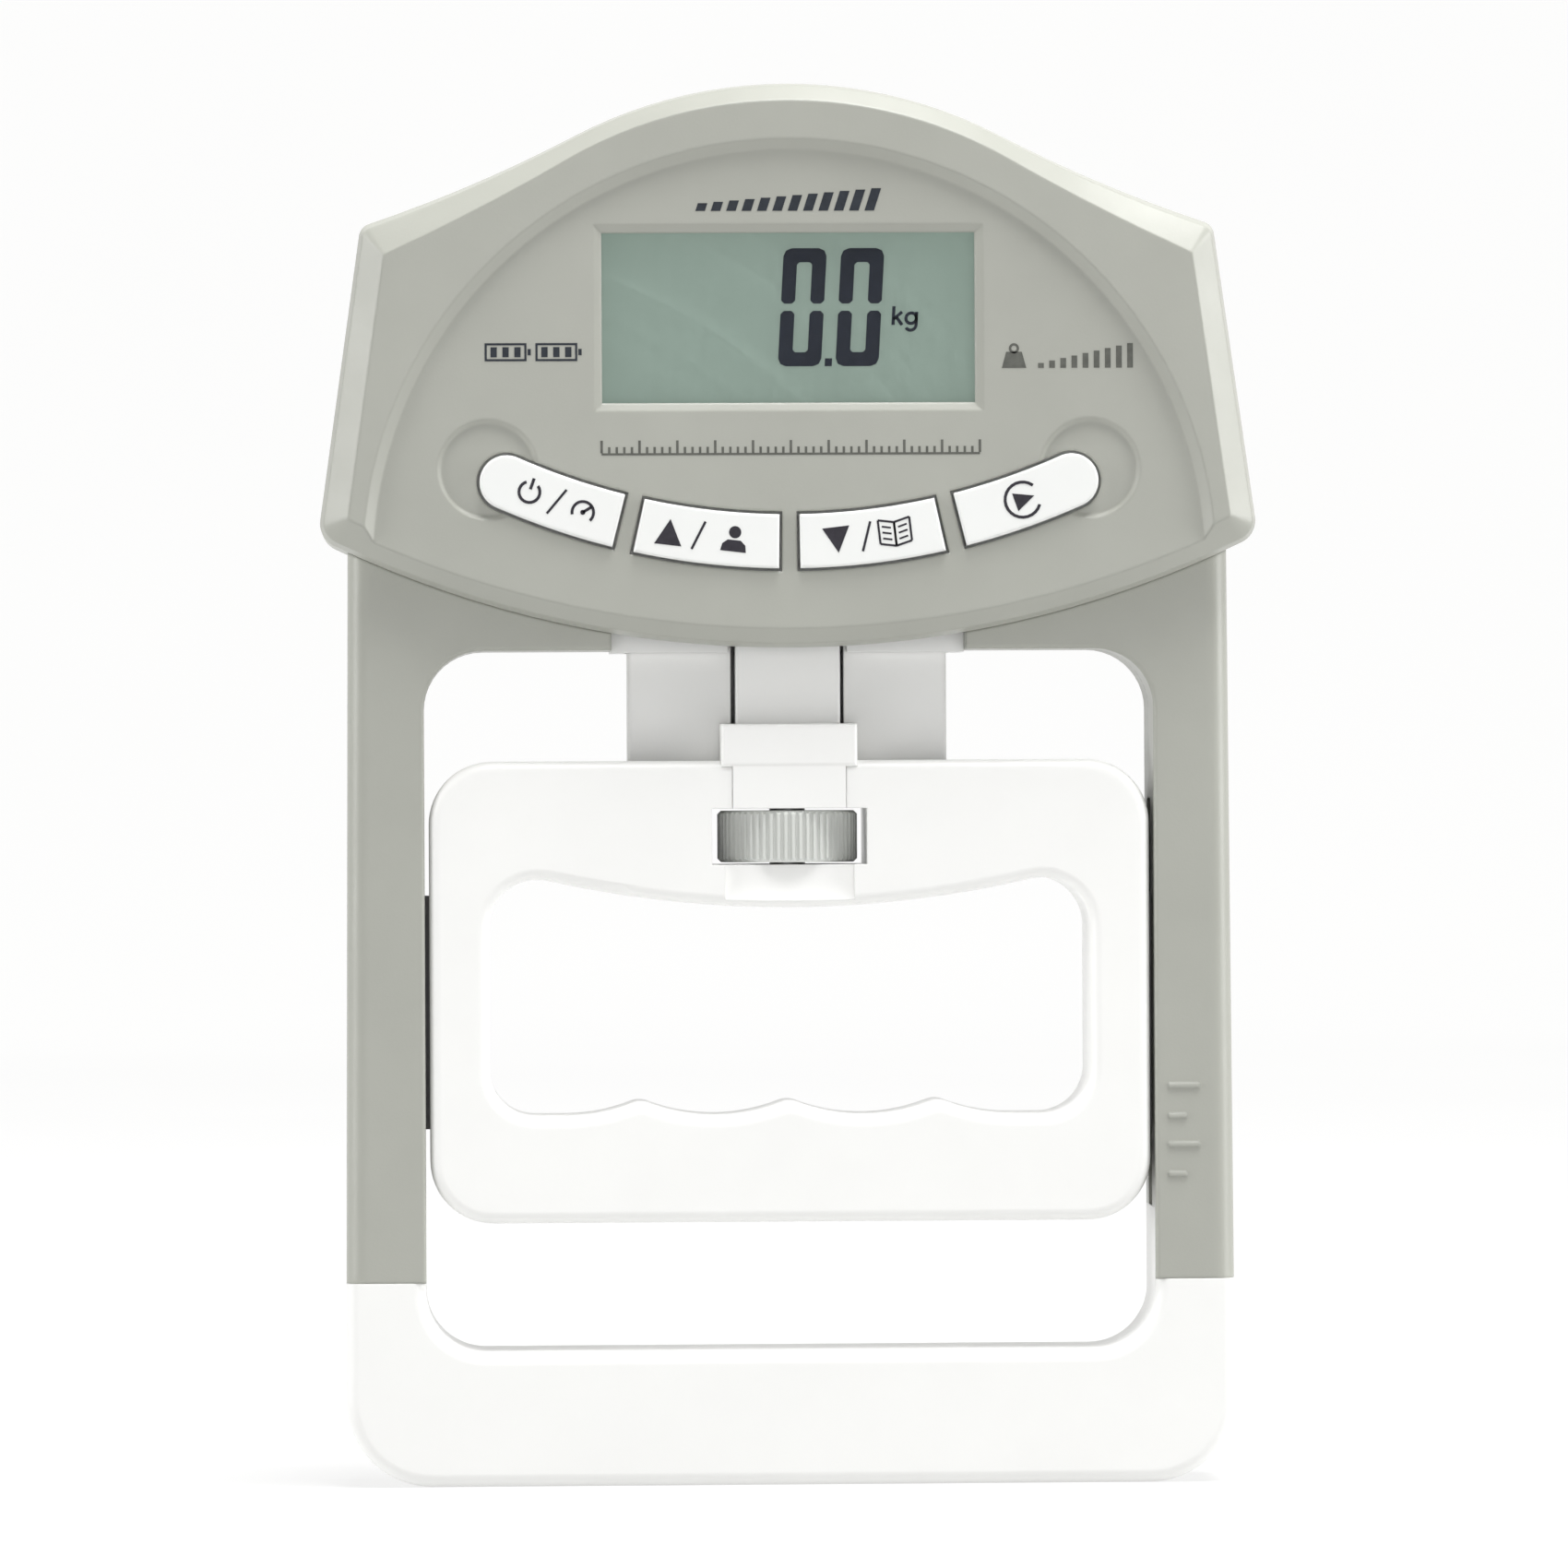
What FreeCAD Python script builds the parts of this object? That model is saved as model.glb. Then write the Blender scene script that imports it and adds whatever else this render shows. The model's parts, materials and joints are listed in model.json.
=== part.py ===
"""Electronic hand dynamometer: a squeeze grip with a digital head.

Millimetres. The instrument stands on the flat of its outer grip, +Z up, with its face towards -Y. The origin
is the centre of that flat. A fixed frame (head, legs and outer grip round a steel strap) carries a load cell.
The inner handle slides between the legs and hangs on a screw spindle from the load cell. Its thumbwheel turns
the spindle and so sets the grip's span.
"""

import FreeCAD
import Part

import math
import os

V = FreeCAD.Vector

# ---- driving dimensions ----------------------------------------------------------------------------------
HEIGHT = 195.0                 # base to the top of the head
HEAD_DEPTH = 31.0              # thickness of the head
BODY_DEPTH = 19.0              # thickness of legs, outer grip and handle
HEAD_WALL = 2.2
WALL = 1.8                     # legs, grip and handle
GAP = 0.3                      # between parts that move past each other
FIT = 0.05                     # radial clearance of a turning shaft

HEAD_FRONT = -HEAD_DEPTH / 2
HEAD_BACK = HEAD_DEPTH / 2
BODY_FRONT = -BODY_DEPTH / 2
BODY_BACK = BODY_DEPTH / 2

# head outline: a dome, two concave flares, straight sides and a bowed lower edge
DOME_R = 64.0
DOME_HALF_ANGLE = math.radians(27.5)
FLARE_R = 200.0
SHOULDER = V(59.3, 0, 175.3)   # corner of flare and side
CHEEK = V(65.4, 0, 132.0)      # corner of side and lower edge
SHOULDER_ROUND = 2.0
CHEEK_ROUND = 3.4
JAW_R = 146.0                  # bowed lower edge
JAW_LOW = 116.6
CREST_INSETS = (2.6, 3.8, 4.0)     # from the outline to the rim's crest: dome, sides and jaw
CREST_HALF_ANGLE = math.radians(30)
CREST_FLARE_R = 300.0          # flatter than the outline's flare, so the rim widens towards the shoulders

# head face
FACE_R = 59.2                  # round top of the sunk face
FACE_CENTRE = V(0, 0, 127.9)
FACE_SINK = 1.2
FACE = HEAD_FRONT + FACE_SINK
FACE_SLOPE = 1.5               # run of the step from the rim down to the face
FACE_INNER = FACE + 2.0        # inside of the face wall
WINDOW_HALF = 25.9
WINDOW_LOW = 150.5
WINDOW_HIGH = 174.1
WINDOW_LIP = 1.2               # bevel round the window
WINDOW_LIP_DEPTH = 0.6
GLASS_POCKET = (28.9, 147.2, 177.4)    # half width, low and high of the thinned wall behind the window
GLASS_POCKET_DEPTH = 0.8

# keys lie on a ring sector below the window
KEY_RING = V(0, 0, 227.8)
KEY_R_IN = 92.8
KEY_R_OUT = 100.3
KEY_INNER_ANGLES = (0.85, 12.5)
KEY_OUTER_ANGLES = (14.2, 23.95)   # the second is the centre of the rounded end
KEY_SLIT = 0.4
KEY_PROUD = 0.7
KEY_TRAVEL = 0.6
KEY_REST = 0.2                 # gap before the face at rest, and before the switch when pressed
KEY_FLANGE = 0.45              # beyond the slit, behind the face
SWITCH_CASE = 1.4
SWITCH_HEIGHT = 1.9
THUMB_DISH = (41.8, 141.3, 6.4)    # x, z and radius of the dish round the end of an outer key
THUMB_DISH_DEPTH = 0.6

# legs and outer grip
LEG_INNER = 50.8
LEG_OUTER_TOP = 61.3
LEG_OUTER_FOOT = 62.1
ARM_END = 24.7                 # where the legs' arms stop below the head
ARM_LOW = 116.3
ARM_ROUND = 8.2
SEAM = 28.4                    # legs above, outer grip below
TAB_TOP = 38.3                 # grip tabs that stand up inside the legs
TAB_HALF_Y = BODY_DEPTH / 2 - 1.4
GRIP_BAR = 18.7                # height of the grip's bar
GRIP_ROUND_OUT = 12.0
GRIP_ROUND_IN = 8.3
GROOVE = (TAB_TOP, 95.4)
GROOVE_HALF = 3.0
LEG_EDGE_ROUND = 3.0
TICKS = ((55.3, 4.4), (51.1, 2.6), (47.1, 4.4), (43.0, 2.6))   # height and length of each span mark
TICK_X = 52.6
TICK_HALF = 0.35
TICK_PROUD = 0.25

# handle
HANDLE_HALF = 50.2
HANDLE_LOW = 36.6
HANDLE_HIGH = 100.9
HANDLE_ROUND = 8.8
HOLE_HALF = 41.9
HOLE_ROUND_TOP = 6.7
HOLE_ROUND_LOW = 6.5
HOLE_TOP_MID = 80.4            # lowest point of the hole's bowed top edge
HOLE_TOP_CORNER = 84.4
FINGER_LOW = 51.4
FINGER_PITCH = 20.8
FINGER_R = 25.7
FINGER_CREST_R = 3.0
RUNNER = (49.6, 82.2)
RUNNER_FOOT = 2.4              # how deep a runner's foot sits in the handle
RUNNER_END = 2.0               # from the end of a runner to the end of its foot
CORE_LOW = 78.0                # the handle is solid round the wheel from here up

# neck, wheel and spindle
TONGUE_HALF = 22.3
TONGUE = (95.5, 129.5)
TONGUE_Y = (-2.5, 6.5)
STEM_HALF = 7.3
STEM_SLIT = 0.6
STEM_TOP = 129.5
STEM_Y = (-5.5, 4.5)
COLLAR_HALF = 9.5
COLLAR = (100.0, 106.0)
RIB_HALF = 7.9
COLLAR_PROUD = 0.3             # collar and rib stand this little in front of the handle
RIB_PROUD = 0.15
WHEEL_WINDOW = (86.4, 94.2)
WHEEL_WINDOW_HALF = 10.8
WHEEL_R = 9.8
WHEEL = (86.7, 93.9)
KNURLS = 60
KNURL_R = 0.34
SPINDLE_R = 2.5
SPINDLE = (82.8, 166.0)
UPPER_BUSH_R = 4.5
LOWER_BUSH_R = 4.0
LOWER_BUSH_END = 0.6           # closed end below the spindle

# load path
STRAP = 2.0
STRAP_HALF_Y = 6.0
STRAP_X = 57.2                 # inner face of the strap's legs
STRAP_FLOOR = 7.0
STRAP_TAB = 28.0               # x where the strap's top tabs end
CELL = (141.0, 153.0)
CELL_HALF_X = 40.0
CELL_HALF_Y = 5.0
CELL_EYE = 18.0                # x of the cell's sensing holes
CELL_SCREWS = (-36.5, -30.5, 30.5, 36.5)
NUT = (153.0, 160.0)
NUT_HALF_X = 10.0
NUT_SCREWS = (-7, 7)
NUT_SCREW_SINK = 1.4

# electronics
BOARD = (-8.0, -6.4)
LENS_FLANGE = FACE_INNER - GLASS_POCKET_DEPTH + 0.6
GLASS = (LENS_FLANGE, -10.0)
BATTERY_R = 5.25
BATTERY_LENGTH = 44.5
BATTERY_Y = 8.4
BATTERY_Z = (167.2, 178.3)
POCKET = (24.6, 161.6, 183.9)      # half width, low and high
POCKET_WALL = 1.2
SPINDLE_SLOT = (158.0, 179.0)  # lets the spindle's top past the battery space
DOOR = (26.3, 159.9, 185.6)        # half width, low and high
DOOR_THICK = 1.4
DOOR_REST = 0.2                # gap behind the closed door
DOOR_HOOK = (14.0, 18.0)       # x span of a hook

# screws
SCREW_R = 1.2
SCREW_HEAD_R = 2.2
SCREW_HEAD = 1.5
SCREW_REACH = 6.0              # thread below the parting plane
SCREW_SINK = 2.2
HEAD_SCREW_SINK = 8.0          # the head's own screws stand in deep wells
SCREW_CLEAR = 0.25             # round a shank in the rear shells
SEAT_R = 3.4                   # of the wider ring round a sunk screw head
SEAT_RING = 1.0                # thickness of that ring under the head
POST_R = 2.6
LEG_POST_R = 2.2               # clear of the strap
HEAD_SCREWS = [(-53.5, 168), (53.5, 168), (-56.3, 145.5), (56.3, 145.5)]
LEG_SCREWS = [(-54.9, 104), (54.9, 104), (-54.9, 43), (54.9, 43)]
GRIP_SCREWS = [(-54.2, 22.5), (54.2, 22.5), (-30, 13.2), (30, 13.2)]
HANDLE_SCREWS = [(-46.1, 44.5), (46.1, 44.5), (-46.1, 92.5), (46.1, 92.5)]
BOARD_SCREWS = [(-46.5, 150), (46.5, 150), (-46.5, 170), (46.5, 170)]
BOARD_SCREW_R = 0.8
BOARD_SCREW_REACH = 3.5
BOARD_POST_R = 2.4


# ---- helpers ---------------------------------------------------------------------------------------------
def line(a, b):
    return Part.LineSegment(a, b).toShape()


def arc(centre, start, end):
    """The shorter arc from start to end about centre."""
    radius = start.distanceToPoint(centre)
    middle = (start - centre) + (end - centre)
    middle.normalize()
    return Part.Arc(start, centre + middle * radius, end).toShape()


def face_of(edges):
    return Part.Face(Part.Wire(Part.__sortEdges__(edges)))


def slab(face, front, back):
    """Extrudes a face drawn in the plane y = 0 between two depths."""
    moved = face.copy()
    moved.translate(V(0, front, 0))
    return moved.extrude(V(0, back - front, 0))


def block(x0, x1, y0, y1, z0, z1):
    return Part.makeBox(x1 - x0, y1 - y0, z1 - z0, V(x0, y0, z0))


def pair(shape):
    """A shape and its mirror image across x = 0."""
    return [shape, shape.mirror(V(0, 0, 0), V(1, 0, 0))]


def rod_y(x, z, radius, front, back):
    return Part.makeCylinder(radius, back - front, V(x, front, z), V(0, 1, 0))


def rod_z(x, y, radius, low, high):
    return Part.makeCylinder(radius, high - low, V(x, y, low))


def union(shapes):
    first, rest = shapes[0], list(shapes[1:])
    return first.multiFuse(rest).removeSplitter() if rest else first


def toward(start, end, reach):
    step = end - start
    step.normalize()
    return start + step * reach


def rounded_polygon(corners):
    """A face from (x, z, radius) corners, each rounded by a tangent arc."""
    points = [V(x, 0, z) for x, z, _ in corners]
    edges, ends = [], []
    for i, (_, _, radius) in enumerate(corners):
        here, before, after = points[i], points[i - 1], points[(i + 1) % len(points)]
        if radius == 0:
            ends.append((here, here))
            continue
        half = (before - here).getAngle(after - here) / 2
        a = toward(here, before, radius / math.tan(half))
        b = toward(here, after, radius / math.tan(half))
        bisector = toward(V(0, 0, 0), toward(here, before, 1) + toward(here, after, 1) - here * 2, 1)
        edges.append(arc(here + bisector * (radius / math.sin(half)), a, b))
        ends.append((a, b))
    for i, (_, leave) in enumerate(ends):
        arrive = ends[(i + 1) % len(ends)][0]
        if leave.distanceToPoint(arrive) > 1e-6:
            edges.append(line(leave, arrive))
    return face_of(edges)


def round_edges(shape, radius, wanted):
    """Fillets the edges that pass a test."""
    return shape.makeFillet(radius, [e for e in shape.Edges if wanted(e)])


def lies_at_y(y):
    return lambda edge: abs(edge.BoundBox.YMin - y) < 1e-4 and abs(edge.BoundBox.YMax - y) < 1e-4


def line_circle(point, direction, centre, radius, near):
    """The crossing of a line and a circle that lies nearest to a third point."""
    offset = point - centre
    b = offset.dot(direction)
    root = math.sqrt(b * b - offset.dot(offset) + radius * radius)
    hits = [point + direction * (-b - root), point + direction * (-b + root)]
    return min(hits, key=lambda hit: hit.distanceToPoint(near))


def lead(points, bend, radius):
    """An insulated wire along straight runs joined by tangent arcs."""
    edges, start = [], points[0]
    for before, here, after in zip(points, points[1:], points[2:]):
        half = (before - here).getAngle(after - here) / 2
        cut = bend / math.tan(half)
        a, b = toward(here, before, cut), toward(here, after, cut)
        bisector = toward(V(0, 0, 0), toward(here, before, 1) + toward(here, after, 1) - here * 2, 1)
        edges += [line(start, a), arc(here + bisector * (bend / math.sin(half)), a, b)]
        start = b
    edges.append(line(start, points[-1]))
    section = Part.Wire(Part.Circle(points[0], points[1] - points[0], radius).toShape())
    return Part.Wire(edges).makePipeShell([section], True, False)


# ---- head ------------------------------------------------------------------------------------------------
def head_wire(insets, half_angle, flare_r, y):
    """The head's outline at depth y, moved inwards at the dome, the sides and the jaw."""
    top_inset, side_inset, jaw_inset = insets
    dome_r, jaw_r = DOME_R - top_inset, JAW_R - jaw_inset
    dome = V(0, 0, HEIGHT - DOME_R)
    slope = V(math.sin(half_angle), 0, math.cos(half_angle))
    flare = dome + slope * (dome_r + flare_r)
    jaw = V(0, 0, JAW_LOW + JAW_R)
    down = toward(V(0, 0, 0), CHEEK - SHOULDER, 1)
    outward = V(-down.z, 0, down.x)
    shoulder_r = max(SHOULDER_ROUND - side_inset, 0.4)
    cheek_r = max(CHEEK_ROUND - side_inset, 0.6)
    side = SHOULDER - outward * side_inset
    shoulder = line_circle(side - outward * shoulder_r, down, flare, flare_r + shoulder_r, SHOULDER)
    cheek = line_circle(side - outward * cheek_r, down, jaw, jaw_r - cheek_r, CHEEK)
    dome_end = dome + slope * dome_r
    flare_end = toward(flare, shoulder, flare_r)
    jaw_end = toward(jaw, cheek, jaw_r)
    right = [
        arc(flare, dome_end, flare_end),
        arc(shoulder, flare_end, shoulder + outward * shoulder_r),
        line(shoulder + outward * shoulder_r, cheek + outward * cheek_r),
        arc(cheek, cheek + outward * cheek_r, jaw_end),
    ]
    left = [e.mirror(V(0, 0, 0), V(1, 0, 0)) for e in right]
    top = Part.Arc(V(-dome_end.x, 0, dome_end.z), dome + V(0, 0, dome_r), dome_end).toShape()
    bottom = Part.Arc(V(-jaw_end.x, 0, jaw_end.z), jaw - V(0, 0, jaw_r), jaw_end).toShape()
    wire = Part.Wire(Part.__sortEdges__([top, bottom] + right + left))
    wire.translate(V(0, y, 0))
    return wire


def head_outline(inset=0.0, y=0.0):
    return head_wire((inset, inset, inset), DOME_HALF_ANGLE, FLARE_R + inset, y)


def rim_outline(share, y):
    """The outline part of the way in to the crest of the front's rim."""
    half_angle = DOME_HALF_ANGLE + share * (CREST_HALF_ANGLE - DOME_HALF_ANGLE)
    flare_bend = 1 / FLARE_R + share * (1 / CREST_FLARE_R - 1 / FLARE_R)
    return head_wire([share * inset for inset in CREST_INSETS], half_angle, 1 / flare_bend, y)


def head_face(inset=0.0):
    return Part.Face(head_outline(inset))


def ring_point(radius, degrees):
    angle = math.radians(degrees)
    return KEY_RING + V(radius * math.sin(angle), 0, -radius * math.cos(angle))


def key_shape(angles, rounded_end, grow=0.0):
    """Plan of a key on the right half, grown all round for its slit or flange."""
    r_in, r_out = KEY_R_IN - grow, KEY_R_OUT + grow
    middle = (r_in + r_out) / 2
    spread = math.degrees(grow / middle)
    near = angles[0] - spread
    far = angles[1] if rounded_end else angles[1] + spread
    a, b = ring_point(r_in, near), ring_point(r_in, far)
    c, d = ring_point(r_out, far), ring_point(r_out, near)
    edges = [arc(KEY_RING, a, b), arc(KEY_RING, c, d), line(d, a)]
    if rounded_end:
        cap = toward(ring_point(middle, far), ring_point(middle, far + 1), (r_out - r_in) / 2)
        edges.append(Part.Arc(b, cap, c).toShape())
    else:
        edges.append(line(b, c))
    return face_of(edges)


def key_plans(grow=0.0):
    """Plans of the four keys, from left to right by name."""
    inner = key_shape(KEY_INNER_ANGLES, False, grow)
    outer = key_shape(KEY_OUTER_ANGLES, True, grow)
    across = V(1, 0, 0)
    return {
        "power_key": outer.mirror(V(0, 0, 0), across),
        "up_key": inner.mirror(V(0, 0, 0), across),
        "down_key": inner,
        "start_key": outer,
    }


def key_centre(name):
    """Where a key's switch stands."""
    angle = 19.5 if name in ("power_key", "start_key") else 6.7
    side = -1 if name in ("power_key", "up_key") else 1
    return ring_point((KEY_R_IN + KEY_R_OUT) / 2, side * angle)


def posts(places, front, back, radius=POST_R):
    return [rod_y(x, z, radius, front, back) for x, z in places]


def pilots(places):
    return [rod_y(x, z, SCREW_R, -SCREW_REACH - 1, 0) for x, z in places]


def rear_posts(places, back, sink, radius=POST_R):
    """Posts of a rear shell, wider round the sunk screw heads."""
    seat = back - sink
    return posts(places, 0, seat, radius) + posts(places, seat - SEAT_RING, back - 1, SEAT_R)


def screw_holes(places, back, sink):
    """Clearance holes with a sunk seat for the heads."""
    seat = back - sink
    holes = [rod_y(x, z, SCREW_R + SCREW_CLEAR, 0, back) for x, z in places]
    return holes + [rod_y(x, z, SCREW_HEAD_R + GAP, seat, back + 1) for x, z in places]


def screws(places, seat):
    """Pan-head screws driven from the back, each with a cross recess."""
    made = []
    for x, z in places:
        shank = rod_y(x, z, SCREW_R, -SCREW_REACH, seat)
        head = rod_y(x, z, SCREW_HEAD_R, seat, seat + SCREW_HEAD)
        head = round_edges(head, 0.5, lies_at_y(seat + SCREW_HEAD))
        cross = [
            block(x - 1.3, x + 1.3, seat + 0.7, seat + 2, z - 0.25, z + 0.25),
            block(x - 0.25, x + 0.25, seat + 0.7, seat + 2, z - 1.3, z + 1.3),
        ]
        made.append(union([shank, head]).cut(union(cross)))
    return Part.makeCompound(made)


def strap_slots():
    """Where the strap's legs pass from the legs into the head."""
    slot = block(STRAP_X - 0.5, STRAP_X + STRAP + 0.5, -STRAP_HALF_Y - 0.5, STRAP_HALF_Y + 0.5, 112, 140)
    return pair(slot)


def neck_opening():
    return block(-ARM_END, ARM_END, -8.0, BODY_BACK, 110, 124)


def front_of_head():
    """The closed front half: side walls, a bevelled rim that rises to a crest, and the sunk round face."""
    profile = [(0, 0), (0, -10.8), (0.14, -12.6), (1, HEAD_FRONT)]
    solid = Part.makeLoft([rim_outline(share, y) for share, y in profile], True, True)
    run = FACE_SLOPE / FACE_SINK
    before = 0.4
    start = FACE_CENTRE + V(0, HEAD_FRONT - before, 0)
    step = Part.makeCone(FACE_R + run * before, FACE_R - FACE_SLOPE, FACE_SINK + before, start, V(0, 1, 0))
    return solid.cut(step)


def window_cuts():
    """The window with its bevelled lip, and the thinned wall behind it for lens and glass."""
    window = block(-WINDOW_HALF, WINDOW_HALF, HEAD_FRONT, 0, WINDOW_LOW, WINDOW_HIGH)
    wide = Part.makePolygon([V(x, FACE, z) for x, z in window_corners(WINDOW_LIP)])
    narrow = Part.makePolygon([V(x, FACE + WINDOW_LIP_DEPTH, z) for x, z in window_corners(0)])
    half, low, high = GLASS_POCKET
    pocket = block(-half, half, FACE_INNER - GLASS_POCKET_DEPTH, 0, low, high)
    return [window, Part.makeLoft([wide, narrow], True, True), pocket]


def head_front_cover():
    shell = front_of_head().cut(slab(head_face(HEAD_WALL), FACE_INNER, 0))
    inside = posts(HEAD_SCREWS, FACE_INNER, 0)
    inside += [rod_y(x, z, BOARD_POST_R, FACE_INNER, BOARD[0]) for x, z in BOARD_SCREWS]
    shell = union([shell] + inside)
    x, z, radius = THUMB_DISH
    dish = Part.makeCone(radius + THUMB_DISH_DEPTH, radius, THUMB_DISH_DEPTH, V(x, FACE, z), V(0, 1, 0))
    cuts = window_cuts() + pair(dish) + pilots(HEAD_SCREWS) + strap_slots() + [neck_opening()]
    cuts += [slab(plan, HEAD_FRONT, 0) for plan in key_plans(KEY_SLIT).values()]
    cuts += [rod_y(x, z, BOARD_SCREW_R, BOARD[0] - BOARD_SCREW_REACH, BOARD[0]) for x, z in BOARD_SCREWS]
    for cut in cuts:
        shell = shell.cut(cut)
    return shell


def window_corners(grow):
    x, low, high = WINDOW_HALF + grow, WINDOW_LOW - grow, WINDOW_HIGH + grow
    return [(-x, low), (x, low), (x, high), (-x, high), (-x, low)]


def leg_face():
    """Plan of the right leg and its arm, running on below the head's edge."""
    return rounded_polygon([
        (LEG_INNER, SEAM, 0),
        (LEG_INNER, ARM_LOW, ARM_ROUND),
        (ARM_END, ARM_LOW, 0),
        (ARM_END, 124.0, 0),
        (LEG_OUTER_TOP, 134.0, 0),
        (LEG_OUTER_FOOT - 0.15, SEAM, 0),
    ])


def leg_pocket(front, back):
    """The hollow of a leg, with the guide groove through its inner wall."""
    hollow = slab(leg_face().makeOffset2D(-WALL), front, back)
    lower = block(LEG_INNER + WALL, LEG_OUTER_FOOT - WALL - 0.1, front, back, SEAM - 1, SEAM + 4)
    groove = block(LEG_INNER - 1, LEG_INNER + 4, -GROOVE_HALF, GROOVE_HALF, GROOVE[0], GROOVE[1])
    tab = block(LEG_INNER - 1, LEG_INNER + WALL, -TAB_HALF_Y, TAB_HALF_Y, SEAM - 1, TAB_TOP)
    return [hollow, lower, groove, tab]


def leg_cover(side):
    """Front half of one leg. The right one carries the span marks."""
    shell = slab(leg_face(), BODY_FRONT, 0)
    shell = round_edges(shell, LEG_EDGE_ROUND, lambda e: lies_at_y(BODY_FRONT)(e) and e.BoundBox.XMin > 60)
    shell = round_edges(shell, 0.6, lambda e: lies_at_y(BODY_FRONT)(e) and inner_leg_edge(e))
    for cut in leg_pocket(BODY_FRONT + WALL, 0):
        shell = shell.cut(cut)
    shell = shell.cut(slab(head_face(), HEAD_FRONT, HEAD_BACK))
    right_side = [(x, z) for x, z in LEG_SCREWS if x > 0]
    shell = union([shell] + posts(right_side, BODY_FRONT + WALL, 0, LEG_POST_R))
    for cut in pilots(right_side):
        shell = shell.cut(cut)
    if side < 0:
        return shell.mirror(V(0, 0, 0), V(1, 0, 0))
    front, back = BODY_FRONT - TICK_PROUD, BODY_FRONT + 0.5
    marks = [block(TICK_X, TICK_X + w, front, back, z - TICK_HALF, z + TICK_HALF) for z, w in TICKS]
    return union([shell] + marks)


def inner_leg_edge(edge):
    """True for the leg's edges along the grip opening."""
    box = edge.BoundBox
    return box.XMax < LEG_INNER + 0.1 and box.ZMax < ARM_LOW + 0.1 and box.ZMin > SEAM - 0.1


def battery_space(wall=0.0):
    """The hollow for the cells, or its outside when wall is its thickness."""
    half, low, high = [size + way * wall for size, way in zip(POCKET, (1, -1, 1))]
    floor = BATTERY_Y - BATTERY_R - GAP - wall
    return block(-half, half, floor, HEAD_BACK + (1 if wall == 0 else -1), low, high)


def head_rear_cover():
    """Back of the head in one piece with the back halves of both legs."""
    profile = [(0, 0), (0, 11.5), (1.0, 14.2), (3.0, HEAD_BACK)]
    head = Part.makeLoft([head_outline(inset, y) for inset, y in profile], True, True)
    legs = pair(slab(leg_face(), 0, BODY_BACK))
    legs = [round_edges(leg, 1.6, lies_at_y(BODY_BACK)) for leg in legs]
    shell = union([head] + legs)
    shell = shell.cut(slab(head_face(HEAD_WALL), 0, HEAD_BACK - 2.0))
    for cut in leg_pocket(0, BODY_BACK - WALL):
        for half in pair(cut):
            shell = shell.cut(half)
    shell = union([shell, battery_space(POCKET_WALL)] + rear_posts(HEAD_SCREWS, HEAD_BACK, HEAD_SCREW_SINK))
    shell = union([shell] + rear_posts(LEG_SCREWS, BODY_BACK, SCREW_SINK, LEG_POST_R))
    half = SPINDLE_R + 0.7
    spindle_slot = block(-half, half, 0, BATTERY_Y - BATTERY_R + 1, SPINDLE_SLOT[0], SPINDLE_SLOT[1])
    cuts = [battery_space(), spindle_slot] + door_cuts() + strap_slots() + [neck_opening()]
    cuts += screw_holes(HEAD_SCREWS, HEAD_BACK, HEAD_SCREW_SINK)
    cuts += screw_holes(LEG_SCREWS, BODY_BACK, SCREW_SINK)
    for cut in cuts:
        shell = shell.cut(cut)
    return shell


def door_cuts():
    """The seat of the battery cover, the slots for its hooks and a finger notch above it."""
    half, low, high = DOOR
    seat_y = HEAD_BACK - DOOR_THICK - DOOR_REST
    seat = block(-half - GAP, half + GAP, seat_y, HEAD_BACK + 1, low - GAP, high + GAP)
    hook_low, hook_high = DOOR_HOOK
    slots = pair(block(hook_low - 0.5, hook_high + 0.5, seat_y - 1.2, HEAD_BACK - 0.3, low - 1.3, POCKET[1]))
    notch = rod_y(0, high + 1.0, 5.0, HEAD_BACK - 0.8, HEAD_BACK + 1)
    return [seat, notch] + slots


def battery_cover():
    """Door over the cells. It rolls on its round lower edge, behind which two hooks hold it."""
    half, low, high = DOOR
    inner, edge_r = HEAD_BACK - DOOR_THICK, DOOR_THICK / 2
    door = block(-half, half, inner, HEAD_BACK, low + edge_r, high)
    door = round_edges(door, 0.5, lambda e: lies_at_y(HEAD_BACK)(e) and e.BoundBox.ZMax > low + 1)
    edge = Part.makeCylinder(edge_r, 2 * half, V(-half, inner + edge_r, low + edge_r), V(1, 0, 0))
    hooks = pair(block(DOOR_HOOK[0], DOOR_HOOK[1], inner, inner + 0.8, low - 0.9, low + edge_r))
    pitch, groove, depth = 1.6, 0.8, 0.5
    tops = [high - 2.2 - pitch * i for i in range(5)]
    grooves = [block(-7, 7, HEAD_BACK - depth, HEAD_BACK + 1, top - groove, top) for top in tops]
    return union([door, edge] + hooks).cut(union(grooves))


# ---- outer grip and frame --------------------------------------------------------------------------------
def grip_face(inset=0.0):
    """Plan of the U-shaped outer grip."""
    out_top, out_foot = LEG_OUTER_FOOT - 0.15 - inset, LEG_OUTER_FOOT - inset
    inner, bar = LEG_INNER + inset, GRIP_BAR - inset
    return rounded_polygon([
        (-out_foot, inset, GRIP_ROUND_OUT - inset),
        (out_foot, inset, GRIP_ROUND_OUT - inset),
        (out_top, SEAM, 0),
        (inner, SEAM, 0),
        (inner, bar, GRIP_ROUND_IN + inset),
        (-inner, bar, GRIP_ROUND_IN + inset),
        (-inner, SEAM, 0),
        (-out_top, SEAM, 0),
    ])


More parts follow.
